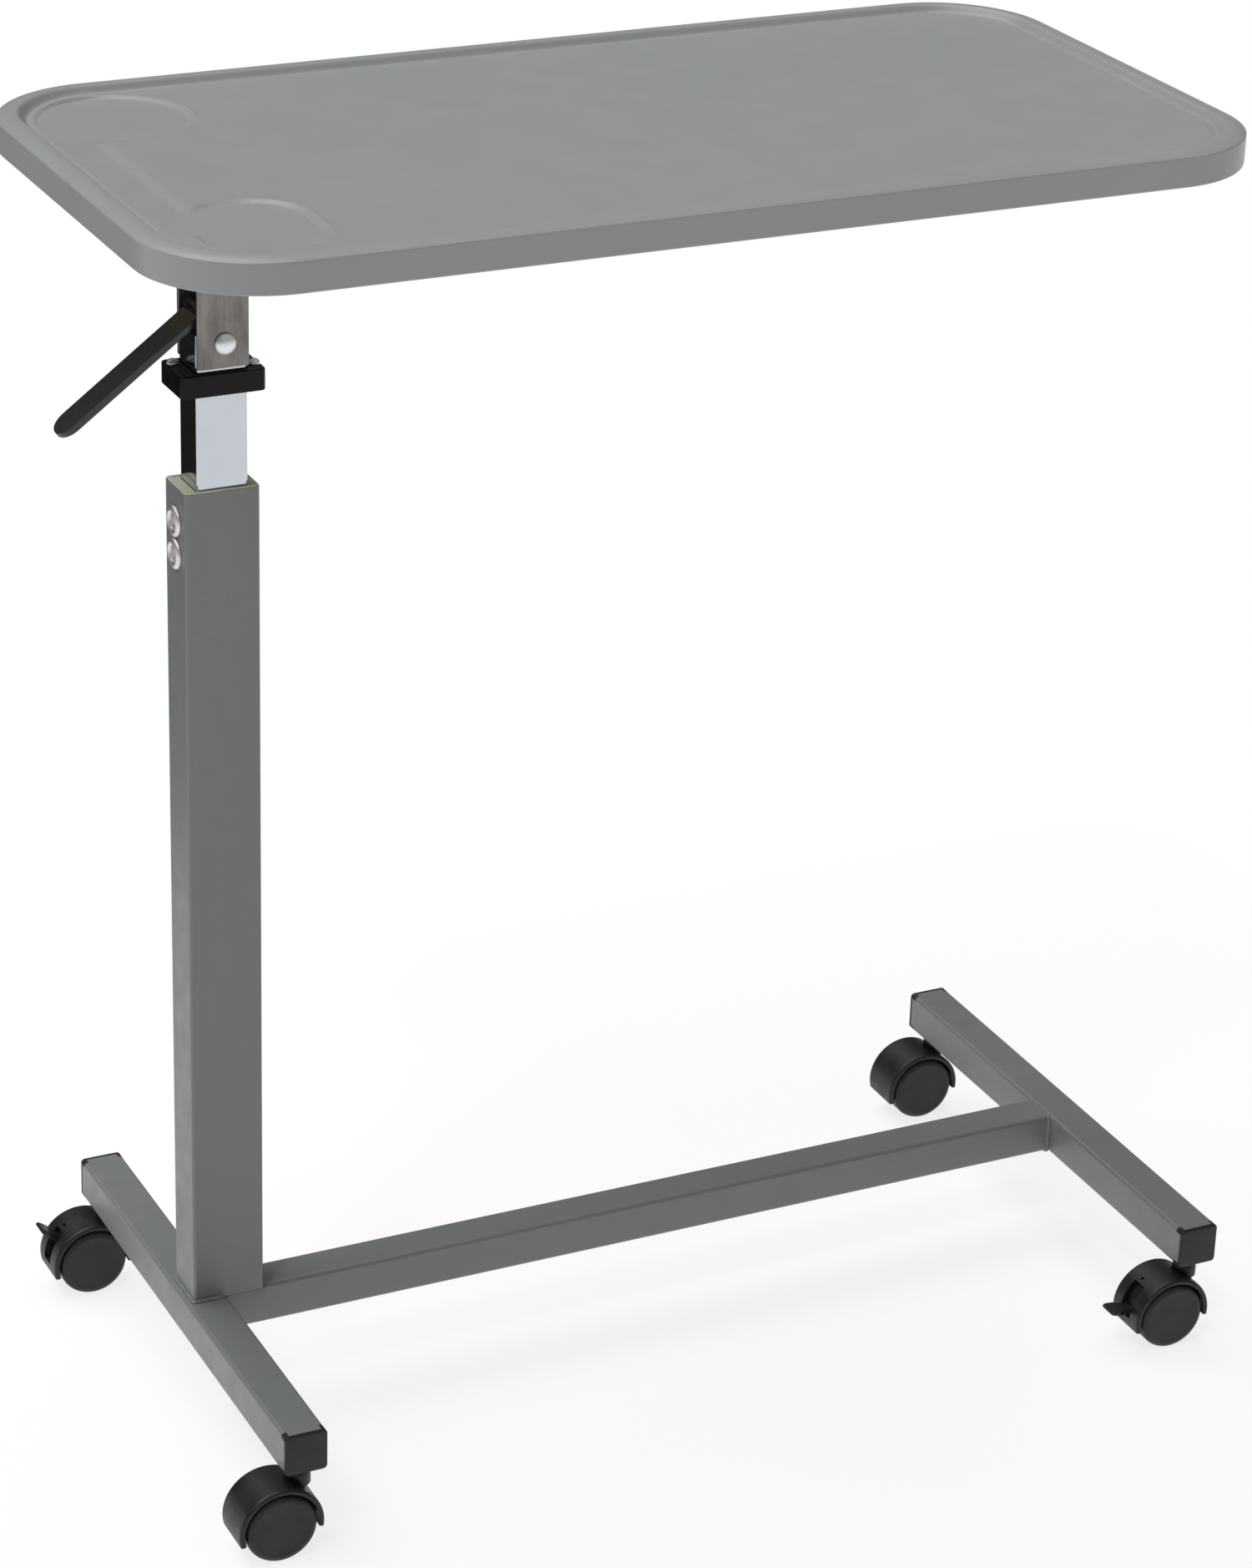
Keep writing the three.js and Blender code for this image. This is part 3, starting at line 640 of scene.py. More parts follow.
def bead(name, path, radius, closed=False):
    """A weld bead along a list of points, with the ripples of the torch."""
    path = [Vector(point) for point in path]
    points = []
    for start, end in zip(path, path[1:] + path[:1] if closed else path[1:]):
        count = max(1, round((end - start).length / WELD["step"]))
        points += [start.lerp(end, i / count) for i in range(count)]
    if not closed:
        points.append(path[-1])
    circle = [2 * math.pi * k / WELD_SIDES for k in range(WELD_SIDES)]
    loops = []
    total = len(points)
    for i, point in enumerate(points):
        before = points[i - 1] if i or closed else point
        after = points[(i + 1) % total] if i < total - 1 or closed else point
        along = (after - before).normalized()
        side = along.orthogonal() if abs(along.z) > 0.9 else along.cross(Vector((0, 0, 1)))
        side.normalize()
        up = along.cross(side)
        ripple = 1 + 0.10 * math.sin(i * 1.7) + 0.16 * noise.noise(point * 420)
        fade = 1.0 if closed else min(1.0, 0.35 + 0.3 * min(i, total - 1 - i))
        reach = radius * ripple * fade
        loops.append([point + reach * (math.cos(a) * side + math.sin(a) * up) for a in circle])
    settle(skin(name, loops, closed=closed), PAINT, "base", angle=70)


def add_welds():
    """Beads round the column's foot, and round both ends of the spine."""
    low, high, _, _ = box_of("outer_column")
    foot_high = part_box("left_foot_tube")[1]
    near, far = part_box("spine_tube")
    out = WELD["out"]
    z = foot_high.z + 0.3 * MM
    left, right, front, back = low.x - out, high.x + out, low.y - out, high.y + out
    inner_end = foot_high.x - 2.5 * MM
    path = [(inner_end, front, z), (left, front, z), (left, back, z), (inner_end, back, z)]
    bead("weld_column_foot", path, WELD["radius"])
    path = [(right, near.y + 3 * MM, z), (right, far.y - 3 * MM, z)]
    bead("weld_column_spine", path, WELD["radius"])
    top = (2.5 * MM, far.z - 1.75 * MM)
    below = [(0.6 * MM, far.z - 3.0 * MM), (0.3 * MM, near.z + 2.0 * MM), (2.5 * MM, near.z + 0.3 * MM)]
    front_half = [(near.y + inset, z) for inset, z in (top, *below)]
    back_half = [(far.y - inset, z) for inset, z in (*reversed(below), top)]
    around = front_half[1:] + back_half + front_half[:1]
    for side, x in (("left", near.x), ("right", far.x)):
        bead(f"weld_spine_{side}", [(x, y, z) for y, z in around], WELD["spine_radius"], closed=True)


def add_end_caps():
    for side in ("left", "right"):
        for row, direction in (("front", -1), ("back", 1)):
            add_end_cap(side, row, direction)


def add_end_cap(side, row, direction):
    """A pillowed plate with a plug behind it, and four short ears that wrap the tube's corners."""
    node = f"end_cap_{side}_{row}"
    low, high, middle, half = box_of(node)
    size = half.x
    corner = FOOT["corner"]
    plug = size - FOOT["wall"] - GAP
    back = high.y - low.y - CAP["plate"]
    lead = CAP["lead"]
    seat = size - 0.3 * MM
    loops = [
        at_height(round_rect(plug - lead, plug - lead, 1 * MM), 0),
        at_height(round_rect(plug, plug, CAP["plug_corner"]), lead),
        at_height(round_rect(plug, plug, CAP["plug_corner"]), back),
        at_height(round_rect(seat, seat, corner), back),
    ]
    for inset, share in CAP_FACE:
        inset *= MM
        outline = round_rect(size - inset, size - inset, max(corner - 0.5 * inset, 0.6 * MM))
        loops.append(at_height(outline, back + share * CAP["plate"]))
    inner_end = low.y if direction > 0 else high.y
    matrix = Matrix.Translation((middle.x, inner_end, middle.z)) @ FACING[direction]
    cap = skin(f"cap_{side}_{row}", loops, matrix)
    ears = [ear(matrix, size, back, sx, sy) for sx in (-1, 1) for sy in (-1, 1)]
    for shape in (cap, *ears):
        face_out(shape)
    join(cap, *ears)
    settle(cap, BLACK, "base", [node])


def ear(matrix, size, back, sx, sy):
    """A thin tab over one rounded corner of the tube, running back from the cap's plate."""
    corner = FOOT["corner"]
    step = EAR_ARC["span"] / EAR_ARC["steps"]
    angles = [math.radians(EAR_ARC["start"] + step * i) for i in range(EAR_ARC["steps"] + 1)]
    loops = []
    for share, drop in ((0.0, 0.8 * EAR["thick"]), (0.12, 0.0), (1.0, 0.0)):
        z = back - EAR["reach"] * (1 - share) + 0.3 * MM
        arc = [(corner - drop, a) for a in angles] + [(corner - EAR["thick"], a) for a in angles[::-1]]
        loop = []
        for radius, a in arc:
            x = size - corner + radius * math.cos(a)
            y = size - corner + radius * math.sin(a)
            loop.append(Vector((sx * x, sy * y, z)))
        loops.append(loop)
    return skin("ear", loops, matrix)


def add_guide_screws():
    """Two wide dished heads, each with a hexagon socket."""
    face_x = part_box("outer_column")[0].x
    for node in ("guide_screw_lower", "guide_screw_upper"):
        low, _, middle, half = box_of(node)
        proud = face_x - low.x
        points = profile(0, (0, -6), (3, -6), (3, 0.3))
        points += profile(0, (0, 0.3), (0, 0.8), (-0.25, 1.5), (-0.9, 2.2), rim=half.z)
        dish = ((-1.8, -0.25), (-2.8, 0), (-3.8, -0.25), (-4.6, -0.8), (-5.1, -1.5))
        points += profile(proud, *dish, rim=half.z)
        points += profile(proud, (0, -1.55))
        matrix = Matrix.Translation((face_x, middle.y, middle.z)) @ Matrix.Rotation(-math.pi / 2, 4, "Y")
        screw = turned(f"{node}_head", points, 56, matrix)
        cut(screw, turned("socket", plain_profile(2.9 * MM, 0.2 * MM, 6 * MM), 6, matrix))
        settle(screw, PEARL, "base", [node])


# ---- casters ----
def hood_mesh(braked):
    """The hood about its wheel axis at the origin, with a web, a hub and the stem's boss."""
    inner, half, edge, lip = HOOD["inner"], HOOD["half_width"], HOOD["edge"], HOOD["lip"]
    section = []
    for sign in (-1, 1):
        arc = []
        for i in range(6):
            a = math.pi / 2 * i / 5
            radius = HOOD["outer"] - edge + edge * math.cos(a)
            arc.append((radius, sign * (half - edge + edge * math.sin(a))))
        arc += [(inner + lip, sign * half), (inner, sign * (half - lip))]
        section += arc if sign > 0 else arc[::-1]
    hood = swept("hood", section, HOOD_ARC, 72)

    start, end = HOOD_ARC
    rim = inner + 1 * MM
    fan = [(0.0, 0.0)]
    for i in range(37):
        a = math.radians(start + 1 + (end - start - 2) * i / 36)
        fan.append((rim * math.cos(a), rim * math.sin(a)))
    web = skin("web", [[Vector((x, y, z)) for x, z in fan] for y in (-WEB_HALF, WEB_HALF)])
    trail = box_of("caster_stem_left_front")[2].x - box_of("caster_axle_left_front")[2].x
    over_boss = Matrix.Translation((trail, 0, 0))
    neck = ((0, 6), (5.8, 6), (5.8, 21), (8.6, 24), (8.6, 30.5), (8.2, 32.5), (7.4, 34.4), (6.8, 35), (0, 35))
    fuse(hood, web)
    fuse(hood, turned("boss", profile(0, *neck), 40, over_boss))
    fuse(hood, turned("hub", plain_profile(8 * MM, -5.9 * MM, WEB_HALF), 32, ALONG_Y))
    cut(hood, turned("bore", plain_profile(AXLE_BORE, -20 * MM, 20 * MM), 24, ALONG_Y))
    cut(hood, turned("stem_bore", plain_profile(4.8 * MM, 13 * MM, 40 * MM), 24, over_boss))
    if braked:
        cut_brake_slot(hood)
    return hood


def cut_brake_slot(hood):
    """The pedal's slot, room in the web for its shield, and a small moulding hole."""
    near, half = SLOT["near"], SLOT["half"]
    cut(hood, swept("slot", block_section(near, SLOT["far"], half), SLOT_ARC, 16))
    cut(hood, swept("shield_room", block_section(near, HOOD["inner"], half), SHIELD_ROOM_ARC, 16))
    matrix = Matrix.Translation((0, MOULDING_HOLE["aside"], 0))
    matrix @= Matrix.Rotation(math.radians(90 - MOULDING_HOLE_ANGLE), 4, "Y")
    matrix @= Matrix.Translation((0, 0, MOULDING_HOLE["from_axle"]))
    cut(hood, turned("hole", plain_profile(MOULDING_HOLE["radius"], 0, 8 * MM), 16, matrix))


def wheel_profile(face, inner):
    """The wheel's section: its blind axle bore, rounded tread and flat outer disc."""
    points = profile(inner, (0, 9.3), (3.3, 9.3), (3.3, 0), (23.6, 0), (24.5, 0.3), (25, 1.4))
    points += profile(face, (25, -4.2), (24.8, -3.0), (24.3, -1.9), (23.4, -1.0), (22.2, -0.4))
    points += profile(face, (20.6, 0), (19.8, -0.05), (19.2, -0.35), (14, -0.3), (7, -0.22), (0, -0.2))
    return points


def blade(name, sections):
    """A bar along X through (reach, section) pairs, all in millimetres."""
    return skin(name, [[Vector((x * MM, y * MM, z * MM)) for y, z in points] for x, points in sections])


def pedal_piece(name, angle):
    """The brake pedal: a ring on the axle, an arm, a tongue, and a curved shield over the slot."""
    tongue = [(x, round_rect(wide, thick, min(0.8, 0.7 * thick), 3)) for x, wide, thick in PEDAL_TONGUE]
    arm = [(x, round_rect(1.5, thick, 0.5, 3, (3.8, 0.0))) for x, thick in PEDAL_ARM]
    shield = block_section(SHIELD["near"], SHIELD["far"], SHIELD["half"])
    pedal = turned(name, plain_profile(7 * MM, 2.3 * MM, 5.3 * MM), 32, ALONG_Y)
    fuse(pedal, blade("arm", arm))
    fuse(pedal, blade("tongue", tongue))
    cut(pedal, turned("bore", plain_profile(AXLE_BORE, 0, 9 * MM), 24, ALONG_Y))
    fuse(pedal, swept("shield", shield, (0, -SHIELD_SPAN), 14))
    pedal.data.transform(Matrix.Rotation(-math.radians(angle), 4, "Y"))
    return pedal


def add_casters():
    hoods = {braked: hood_mesh(braked) for braked in (False, True)}
    for place in PLACES:
        add_caster(place, hoods[place in BRAKED])
    for hood in hoods.values():
        bpy.data.objects.remove(hood)


def add_caster(place, hood):
    axle = box_of(f"caster_axle_{place}")[2]
    here = Matrix.Translation(axle)
    shell = bpy.data.objects.new(f"hood_{place}", hood.data.copy())
    scene.collection.objects.link(shell)
    shell.data.transform(here)
    settle(shell, BLACK, f"swivel_{place}", [f"caster_hood_{place}"], angle=32)

    for which, direction in (("outer", -1), ("inner", 1)):
        node = f"wheel_{which}_{place}"
        low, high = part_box(node)
        inner, face = sorted((abs(low.y - axle.y), abs(high.y - axle.y)))
        matrix = here @ FACING[direction]
        wheel = turned(f"{which}_wheel_{place}", wheel_profile(face, inner), 72, matrix)
        settle(wheel, WHEEL, node, [node], angle=45)

    low, high, middle, _ = box_of(f"caster_stem_{place}")
    shank = ((0, 0), (4.5, 0), (4.5, 20.3), (6.6, 20.3), (7.0, 20.8), (7.0, 23.2), (6.6, 23.7), (4.5, 23.7))
    points = profile(low.z, *shank) + profile(high.z, (4.5, -2), (3.5, 0), (0, 0))
    pin = turned(f"stem_{place}", points, 32, upright(middle))
    settle(pin, DARK_STEM, "base", [f"caster_stem_{place}"])

    if place in BRAKED:
        pedal = pedal_piece(f"pedal_{place}", BRAKED[place])
        pedal.data.transform(here)
        settle(pedal, BLACK, f"brake_{place}", [f"brake_pedal_{place}"], angle=40)


# ---- mast and head ----
def add_collar():
    """The moulded collar with soft edges, and the two screws in its shoulders."""
    low, high, middle, half = box_of("mast_collar")
    collar_x = middle.x
    _, _, mast, mast_half = box_of("mast_tube")
    hole = wall_at(mast.x, mast_half.x + GAP, mast_half.y + GAP, MAST["corner"])
    body = wall_at(collar_x, half.x, half.y, 3.0 * MM)
    levels = [
        (body, -0.9, low.z, 0.0),
        (body, -0.25, low.z, 0.3),
        (body, 0.0, low.z, 1.0),
        (body, 0.0, high.z, -1.2),
        (body, -0.35, high.z, -0.35),
        (body, -1.2, high.z, 0.0),
        (hole, 0.5, high.z, 0.0),
        (hole, 0.0, high.z, -0.5),
        (hole, 0.0, low.z, 0.5),
        (hole, 0.5, low.z, 0.0),
    ]
    settle(ringed("collar", levels), COLLAR_BLACK, "upper", ["mast_collar"])

    low, high, middle, _ = box_of("collar_screw")
    head = profile(high.z, (3.8, -3.1), (3.8, -2.1), (3.3, -1.1), (2.2, -0.3), (0, 0))
    shank = profile(low.z, (0, 0), (1.5, 0)) + profile(high.z, (1.5, -3.1))
    screw = turned("collar_screw_left", shank + head, 32, upright(middle))
    settle(screw, PEARL, "upper", ["collar_screw"])
    mirrored = Matrix.Translation((2 * collar_x - middle.x, -middle.y, 0))
    screw = turned("collar_screw_right", profile(high.z, (0, -3.1)) + head, 32, mirrored)
    settle(screw, PEARL, "upper")


def bent_line(half_y, low_z, high_z, bend):
    """Points of an inverted U in the YZ plane, from its front foot to its back foot."""
    front = [(-half_y, low_z)]
    for i in range(7):
        a = math.pi / 2 * i / 6
        front.append((-half_y + bend * (1 - math.cos(a)), high_z - bend * (1 - math.sin(a))))
    return front + [(-y, z) for y, z in reversed(front)]


def add_bracket():
    """A steel strip folded over the mast's top: a flange in front, one behind and a web between them."""
    low, high, middle, half = box_of("head_bracket")
    wall, bend, bevel = BRACKET["wall"], BRACKET["bend"], BRACKET["bevel"]
    outer = bent_line(half.y, low.z, high.z, bend)
    inner = bent_line(half.y - wall, low.z, high.z - wall, bend - wall)
    foot = low.z + bevel
    outer_end = bent_line(half.y - bevel, foot, high.z - bevel, bend - bevel)
    inner_end = bent_line(half.y - wall + bevel, foot, high.z - wall + bevel, bend - wall + bevel)
    section = outer + inner[::-1]
    ends = outer_end + inner_end[::-1]
    loops = []
    for x, points in ((-half.x, ends), (-half.x + bevel, section), (half.x - bevel, section), (half.x, ends)):
        loops.append([Vector((middle.x + x, y, z)) for y, z in points])
    settle(skin("bracket", loops), DARK, "upper", ["head_bracket"])


def add_cross_bolts():
    """A domed bolt in each flange of the bracket."""
    face = box_of("head_bracket")[3].y
    dome = ((0, 0.3), (0, 1.0), (-0.5, 1.9), (-1.4, 2.9), (-2.8, 3.8), (-4.6, 4.35))
    for row, direction in (("front", -1), ("back", 1)):
        node = f"head_bolt_{row}"
        _, _, middle, half = box_of(node)
        points = profile(-face, (0, 7.3), (3, 7.3)) + profile(0, (3, 0.3))
        points += profile(0, *dome, rim=half.z) + profile(0, (0, 4.5))
        matrix = Matrix.Translation((middle.x, direction * face, middle.z)) @ FACING[direction]
        settle(turned(f"bolt_{row}", points, 48, matrix), BRIGHT, "upper", [node])


def add_lever():
    """A flat bar with a round end, dipped in a dark sleeve, on a hub with its finger."""
    low, _, _, half = box_of("release_lever")
    pin = box_of("lever_pivot_pin")[2]
    width, thick = half.y, LEVER["thick"]
    slope = math.radians(LEVER_DROOP)
    length = (pin.x - low.x - thick / 2 * math.sin(slope)) / math.cos(slope)

    def outline(inset):
        reach = length - width
        radius = width - inset
        points = [(0.0, -radius), (0.0, radius)]
        for i in range(25):
            a = math.pi / 2 + math.pi * i / 24
            points.append((-reach + radius * math.cos(a), radius * math.sin(a)))
        return points

    def finger_outline(inset):
        return round_rect(7 * MM - inset, 5 * MM - inset, 1 * MM, 3, (7 * MM, 0.0))

    bar = slab("lever", outline, -thick / 2, thick / 2, LEVER["edge"])
    bar.data.transform(Matrix.Rotation(-slope, 4, "Y"))
    fuse(bar, turned("hub", plain_profile(LEVER["hub"], -width, width), 40, ALONG_Y))
    fuse(bar, slab("finger", finger_outline, -4 * MM, 2 * MM, 0.4 * MM))
    cut(bar, turned("bore", plain_profile(LEVER["bore"], -12 * MM, 12 * MM), 24, ALONG_Y))
    bar.data.transform(Matrix.Translation(pin))
    settle(bar, SLEEVE, "lever", ["release_lever"], angle=32)


def add_release():
    """The lever's pivot pin with dressed ends, and the plunger with its grooved neck and round tip."""
    _, _, middle, half = box_of("lever_pivot_pin")
    soft = 0.5 * MM
    length = half.y - 0.1 * MM
    points = [(0, -length), (half.z - soft, -length), (half.z, soft - length)]
    points += [(radius, -height) for radius, height in reversed(points)]
    matrix = Matrix.Translation(middle) @ ALONG_Y
    settle(turned("pivot_pin", points, 32, matrix), ZINC, "upper", ["lever_pivot_pin"])

    low, high, middle, half = box_of("release_plunger")
    radius = half.x
    neck = ((0, -5.5), (-0.5, -5.2), (-0.5, -4.2), (0, -3.9), (0, -1.6))
    points = [(0, low.z)] + profile(low.z, (-0.4, 0), (0, 0.4), rim=radius)
    points += profile(high.z, *neck, rim=radius)
    points += [(0.75 * radius, high.z - 0.7 * MM), (0.4 * radius, high.z - 0.2 * MM), (0, high.z)]
    settle(turned("plunger", points, 32, upright(middle)), ZINC, "plunger", ["release_plunger"])


# ---- support under the top ----
def add_support():
    """Two rails on the mounting plate, and the screws that hold the board to them."""
    for row in ("front", "back"):
        lying_tube(f"rail_{row}", f"support_rail_{row}", True, RAIL, ZINC, "upper")
    low, high, middle, half = box_of("mounting_plate")
    centre = (middle.x, middle.y)

    def outline(inset):
        return round_rect(half.x - inset, half.y - inset, PLATE["corner"] - inset, 8, centre)

    plate = slab("top_plate", outline, low.z, high.z, PLATE["edge"])
    settle(plate, ZINC, "upper", ["mounting_plate"])
    for number in range(1, 5):
        node = f"top_screw_{number}"
        low, high, middle, _ = box_of(node)
        points = profile(low.z, (0, 0), (3.4, 0), (4.3, 0.8), (4.5, 2.7), (2, 2.7))
        points += profile(high.z, (2, -2), (0, 0))
        screw = turned(f"rail_screw_{number}", points, 32, upright(middle))
        hexagon = plain_profile(2 * MM, low.z - 1 * MM, low.z + 1.4 * MM)
        cut(screw, turned("socket", hexagon, 6, upright(middle)))
        settle(screw, ZINC, "upper", [node])


# ---- the top ----
def clamp(value):
    return max(0.0, min(1.0, value))


def ease(share):
    """From 0 to 1 with a soft start and a soft end."""
    return share * share * (3 - 2 * share)


def round_box_distance(x, y, centre, half, radius):
    """Signed distance to a round-cornered box, negative inside."""
    dx = abs(x - centre[0]) - half[0] + radius
    dy = abs(y - centre[1]) - half[1] + radius
    return math.hypot(max(dx, 0), max(dy, 0)) + min(max(dx, dy), 0) - radius


def soft_min(a, b, reach):
    """The smaller of two distances, with a fillet of the given reach between them."""
    mix = clamp(0.5 + 0.5 * (b - a) / reach)
    return b + (a - b) * mix - reach * mix * (1 - mix)


def pocket_relief(x, y, half_x, half_y):
    """Height over the field at a point: two lobes in the left corners, and a channel along the left rim."""
    corner_x = -(half_x - TRAY["radius"])
    corner_y = half_y - TRAY["radius"]
    back = math.hypot(x - corner_x + POCKET["back_shift"], y - corner_y) - POCKET["back_radius"]
    front_half = (POCKET["front_half_x"], POCKET["front_half_y"])
    front = round_box_distance(x, y, (corner_x, -corner_y), front_half, POCKET["front_corner"])
    channel_half = POCKET["channel_right"] / 2
    channel = round_box_distance(x, y, (-half_x + channel_half, 0), (channel_half, corner_y), 0)
    lobes = min(back, front)
    inside = -soft_min(lobes, channel, POCKET["fillet"])
    near_lobe = clamp(0.5 + (channel - lobes) / POCKET["lobe_blend"])
    wall = POCKET["channel_wall"] + (POCKET["wall"] - POCKET["channel_wall"]) * near_lobe
    lip = POCKET["lip"] * near_lobe * math.exp(-(((inside + 0.8 * wall) / (0.45 * wall)) ** 2))
    return lip - POCKET["depth"] * ease(clamp(0.5 + inside / wall))


def field_points(half_x, half_y, radius):
    """Rows of points that fill a round-cornered field, denser at the pockets."""
    straight = half_y - radius
    count, turns = FIELD["rows"], FIELD["corner_rows"]
    rows = [-straight + 2 * straight * i / count for i in range(count + 1)]
    corner = [straight + radius * math.sin(math.pi / 2 * i / turns) for i in range(1, turns + 1)]
    ys = [-y for y in reversed(corner)] + rows + corner
    fine_end = -half_x + FIELD_FINE
    fine, coarse = FIELD["fine_columns"], FIELD["coarse_columns"]
    xs = [-half_x + (fine_end + half_x) * i / fine for i in range(fine + 1)]
    xs += [fine_end + (half_x - fine_end) * (i / coarse) ** 1.25 for i in range(1, coarse + 1)]
    grid = []
    for y in ys:
        past = max(abs(y) - straight, 0.0)
        limit = half_x - radius + math.sqrt(max(radius * radius - past * past, 0.0))
        grid.append([(x * limit / half_x, y) for x in xs])
    return grid


def outward_at(x, y, centre_x, centre_y):
    """The direction out of a round-cornered outline at one of its points."""
    corner = Vector((max(abs(x) - centre_x, 0.0), max(abs(y) - centre_y, 0.0)))
    if corner.length < 1e-7:
        corner = Vector((1.0, 0.0))
    corner.normalize()
    return math.copysign(corner.x, x), math.copysign(corner.y, y)


def add_tray():
    """The moulded skin: a field with its relief, then rings over the rim and down round the skirt."""
    low, high, middle, half = box_of("tabletop_tray")
    inset = TRAY["field_inset"]
    radius = TRAY["radius"] - inset
    grid = field_points(half.x - inset, half.y - inset, radius)
    field = high.z - TRAY["rim_height"]
    rows, columns = len(grid), len(grid[0])
    verts = []
    for row in grid:
        for x, y in row:
            verts.append(Vector((middle.x + x, y, field + pocket_relief(x, y, half.x, half.y))))
    faces = []
    for r in range(rows - 1):
        for c in range(columns - 1):
            here = r * columns + c
            faces.append((here, here + 1, here + columns + 1, here + columns))
    edge = list(range(columns))
    edge += [r * columns + columns - 1 for r in range(1, rows)]
    edge += [(rows - 1) * columns + c for c in range(columns - 2, -1, -1)]
    edge += [r * columns for r in range(rows - 2, 0, -1)]
    centre_x = half.x - inset - radius
    centre_y = half.y - inset - radius
    outward = [outward_at(verts[i].x - middle.x, verts[i].y, centre_x, centre_y) for i in edge]

    last = edge
    for pull, z in rim_profile(field, high.z, low.z):
        climb = clamp((TRAY["rim_out"] - pull) / (TRAY["rim_out"] - TRAY["rim_in"]))
        ring = []
        for index, (nx, ny) in zip(edge, outward):
            base = verts[index]
            reach = inset - pull
            ring.append(len(verts))
            sunk = (base.z - field) * (1 - climb)
            verts.append(Vector((base.x + nx * reach, base.y + ny * reach, z + sunk)))
        for i in range(len(edge)):
            j = (i + 1) % len(edge)
            faces.append((last[i], ring[i], ring[j], last[j]))
        last = ring
    faces.append(tuple(last))
    tray = link_mesh("tray", verts, faces)
    settle(tray, TOP, "upper", ["tabletop_tray"], angle=60)


def rim_profile(field, top, bottom):
    """(inset, height) pairs: a groove round the field, the rim, the side band, and in under the skirt."""
    start, stop = TRAY["rim_out"], TRAY["rim_in"]
    groove, lead = TRAY["groove"], TRAY["groove_lead"]
    floor = field - groove
    points = []
    for i in range(1, 7):
        share = i / 6
        points.append((start + lead * (1 - share), field - groove * math.sin(math.pi / 2 * share) ** 2))
    for i in range(1, 11):
        share = i / 10
        points.append((start + (stop - start) * share, floor + (top - floor) * ease(share)))
    edge_round, crown, crown_from = TRAY["edge_round"], TRAY["crown"], TRAY["crown_from"]
    tilt = math.atan(2 * crown / crown_from)
    crown_to = edge_round * (1 - math.sin(tilt))
    for i in range(9):
        share = i / 8
        points.append((crown_from + (crown_to - crown_from) * share, top - crown * share**2))
    shoulder = top - crown - edge_round * math.cos(tilt)
    for i in range(1, 8):
        a = tilt + (math.pi / 2 - tilt) * i / 7
        points.append((edge_round * (1 - math.sin(a)), shoulder + edge_round * math.cos(a)))
    small = TRAY["foot_round"]
    for i in range(5):
        a = math.pi / 2 * i / 4
        points.append((small * (1 - math.cos(a)), bottom + small * (1 - math.sin(a))))
    points += [(TRAY["skirt"], bottom), (TRAY["skirt"], field - TRAY["skin"])]
    return points


def add_core_board():
    low, high, middle, half = box_of("tabletop_core_board")
    radius = TRAY["radius"] - TRAY["skirt"] - GAP

    def outline(inset):
        return round_rect(half.x - inset, half.y - inset, radius - inset, 24, (middle.x, 0.0))

    board = slab("core_board", outline, low.z, high.z, 0.3 * MM)
    settle(board, BOARD, "upper", ["tabletop_core_board"])


# ---- studio ----
def add_camera():
    azimuth, pitch, roll = (math.radians(CAMERA[key]) for key in ("azimuth", "pitch", "roll"))
    flat = math.cos(pitch)
    forward = Vector((math.sin(azimuth) * flat, math.cos(azimuth) * flat, -math.sin(pitch)))
    level = Vector((math.cos(azimuth), -math.sin(azimuth), 0))
    upward = level.cross(forward)
    right = math.cos(roll) * level + math.sin(roll) * upward
    up = -math.sin(roll) * level + math.cos(roll) * upward
    camera = bpy.data.objects.new("camera", bpy.data.cameras.new("camera"))
    camera.data.lens = CAMERA["lens"]
    camera.data.clip_end = CAMERA["clip_end"]
    turn = Matrix((right, up, -forward)).transposed().to_4x4()
    camera.matrix_world = Matrix.Translation(CAMERA["place"]) @ turn
    scene.collection.objects.link(camera)
    scene.camera = camera


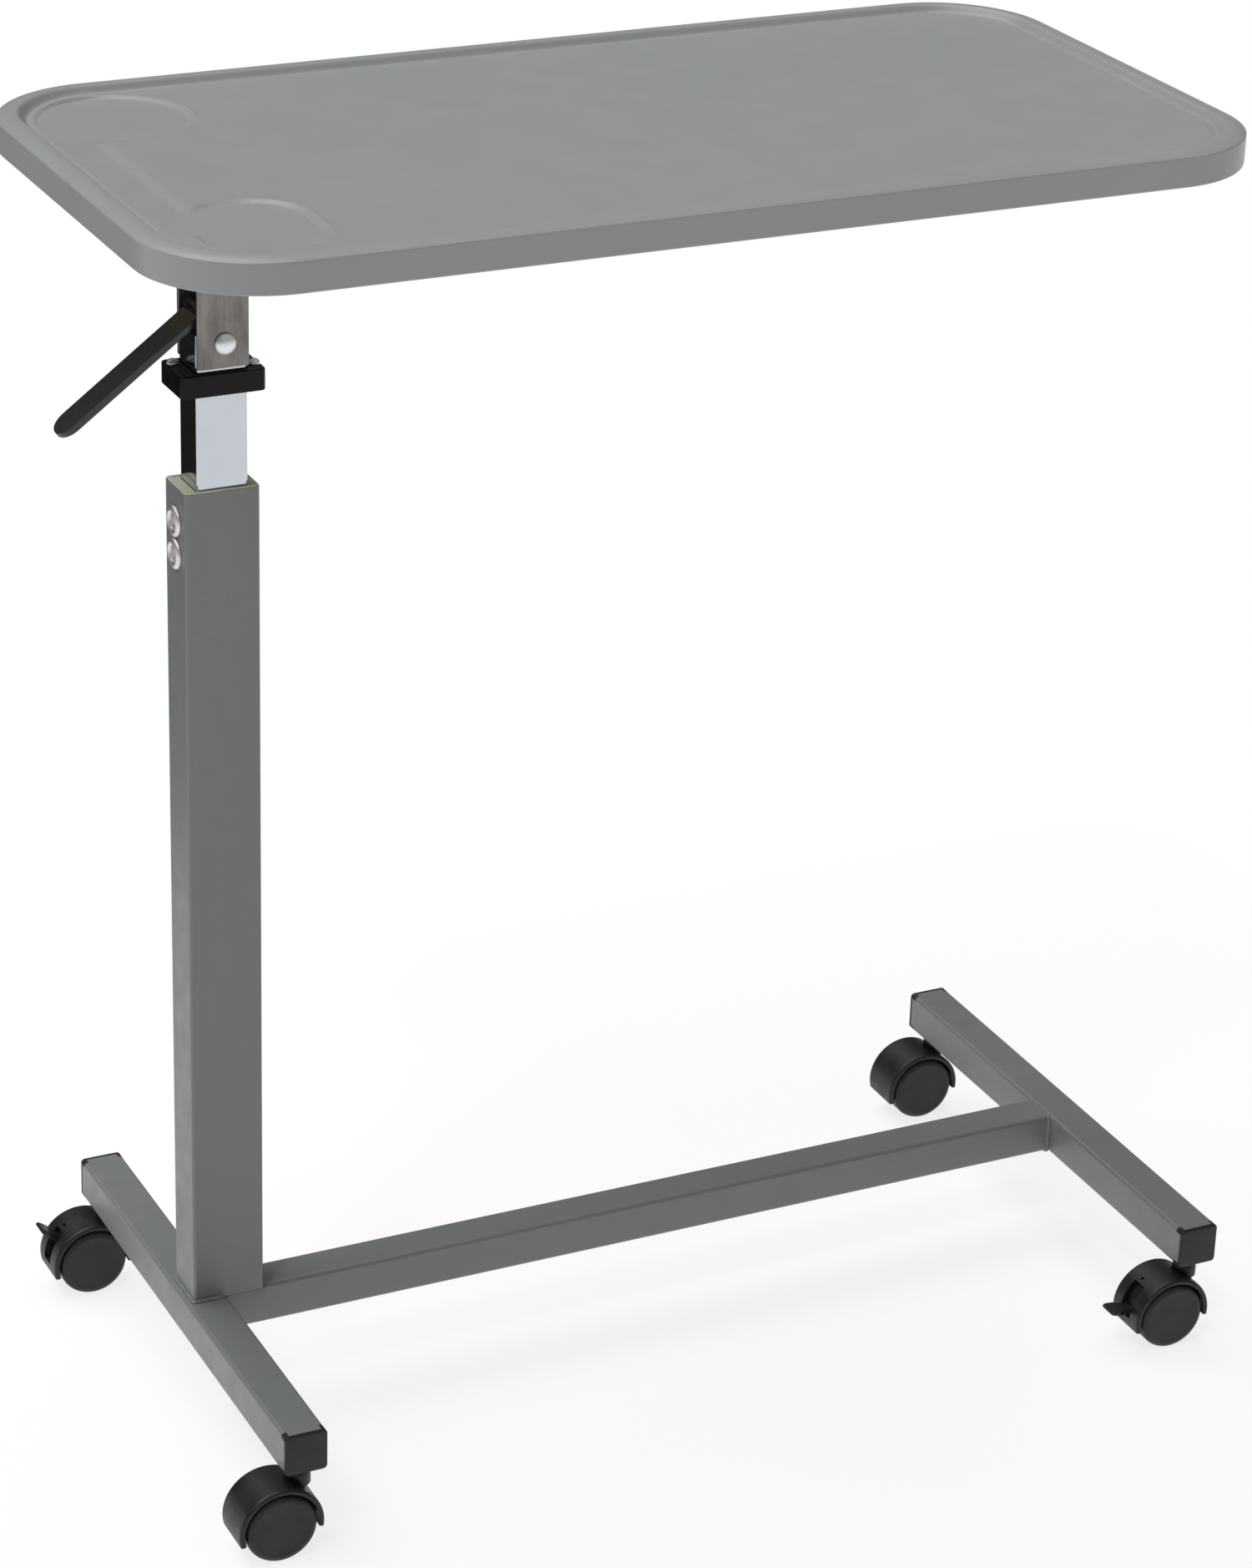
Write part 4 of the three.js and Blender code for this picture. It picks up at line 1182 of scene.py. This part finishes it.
def stage_sheet(name, corners, material_name, grey, rough):
    """One face of the studio, in a plain grey. Returns it and its shader."""
    sheet = link_mesh(name, corners, [(0, 1, 2, 3)])
    material = bpy.data.materials.new(material_name)
    material.use_nodes = True
    shader = material.node_tree.nodes["Principled BSDF"]
    shader.inputs["Base Color"].default_value = (grey, grey, grey, 1)
    shader.inputs["Roughness"].default_value = rough
    shader.inputs["Specular IOR Level"].default_value = 0.1
    sheet.data.materials.append(material)
    return sheet, shader


def add_studio():
    size = FLOOR["half"]
    corners = [(-size, -size, 0), (size, -size, 0), (size, size, 0), (-size, size, 0)]
    _, shader = stage_sheet("floor", corners, "studio_floor", FLOOR["albedo"], 0.9)
    shader.inputs["Emission Color"].default_value = (1, 1, 1, 1)
    shader.inputs["Emission Strength"].default_value = FLOOR["glow"]

    # A dark card to the back left, which only gloss sees: the bright mast's left side reflects it.
    card, _ = stage_sheet("dark_card", CARD, "card_black", 0.01, 1.0)
    card.visible_camera = False
    card.visible_diffuse = False
    card.visible_shadow = False

    for name, values in SUNS.items():
        sun = bpy.data.objects.new(name, bpy.data.lights.new(name, "SUN"))
        sun.data.energy = values["strength"]
        sun.data.angle = math.radians(values["spread"])
        sun.rotation_euler = Vector(values["direction"]).to_track_quat("Z", "Y").to_euler()
        scene.collection.objects.link(sun)
    add_world()
    scene.view_settings.view_transform = "Standard"


def add_world():
    """A world that lights the object softly, and past the floor's edge looks as white as the floor."""
    world = bpy.data.worlds.new("studio")
    world.use_nodes = True
    nodes, links = world.node_tree.nodes, world.node_tree.links
    background = nodes["Background"]
    background.inputs["Color"].default_value = (*WORLD_LIGHT["colour"], 1)
    background.inputs["Strength"].default_value = WORLD_LIGHT["strength"]
    horizon = nodes.new("ShaderNodeBackground")
    horizon.inputs["Color"].default_value = (1, 1, 1, 1)
    mix = nodes.new("ShaderNodeMixShader")
    links.new(nodes.new("ShaderNodeLightPath").outputs["Is Camera Ray"], mix.inputs[0])
    links.new(background.outputs[0], mix.inputs[1])
    links.new(horizon.outputs[0], mix.inputs[2])
    links.new(mix.outputs[0], nodes["World Output"].inputs["Surface"])
    scene.world = world


dress_cad_nodes()
add_base_tubes()
add_column()
add_welds()
add_end_caps()
add_guide_screws()
add_casters()
upright_tube("mast", "mast_tube", MAST, MAST_PLATE, "upper")
add_collar()
add_bracket()
add_cross_bolts()
add_lever()
add_release()
add_support()
add_tray()
add_core_board()
add_camera()
add_studio()
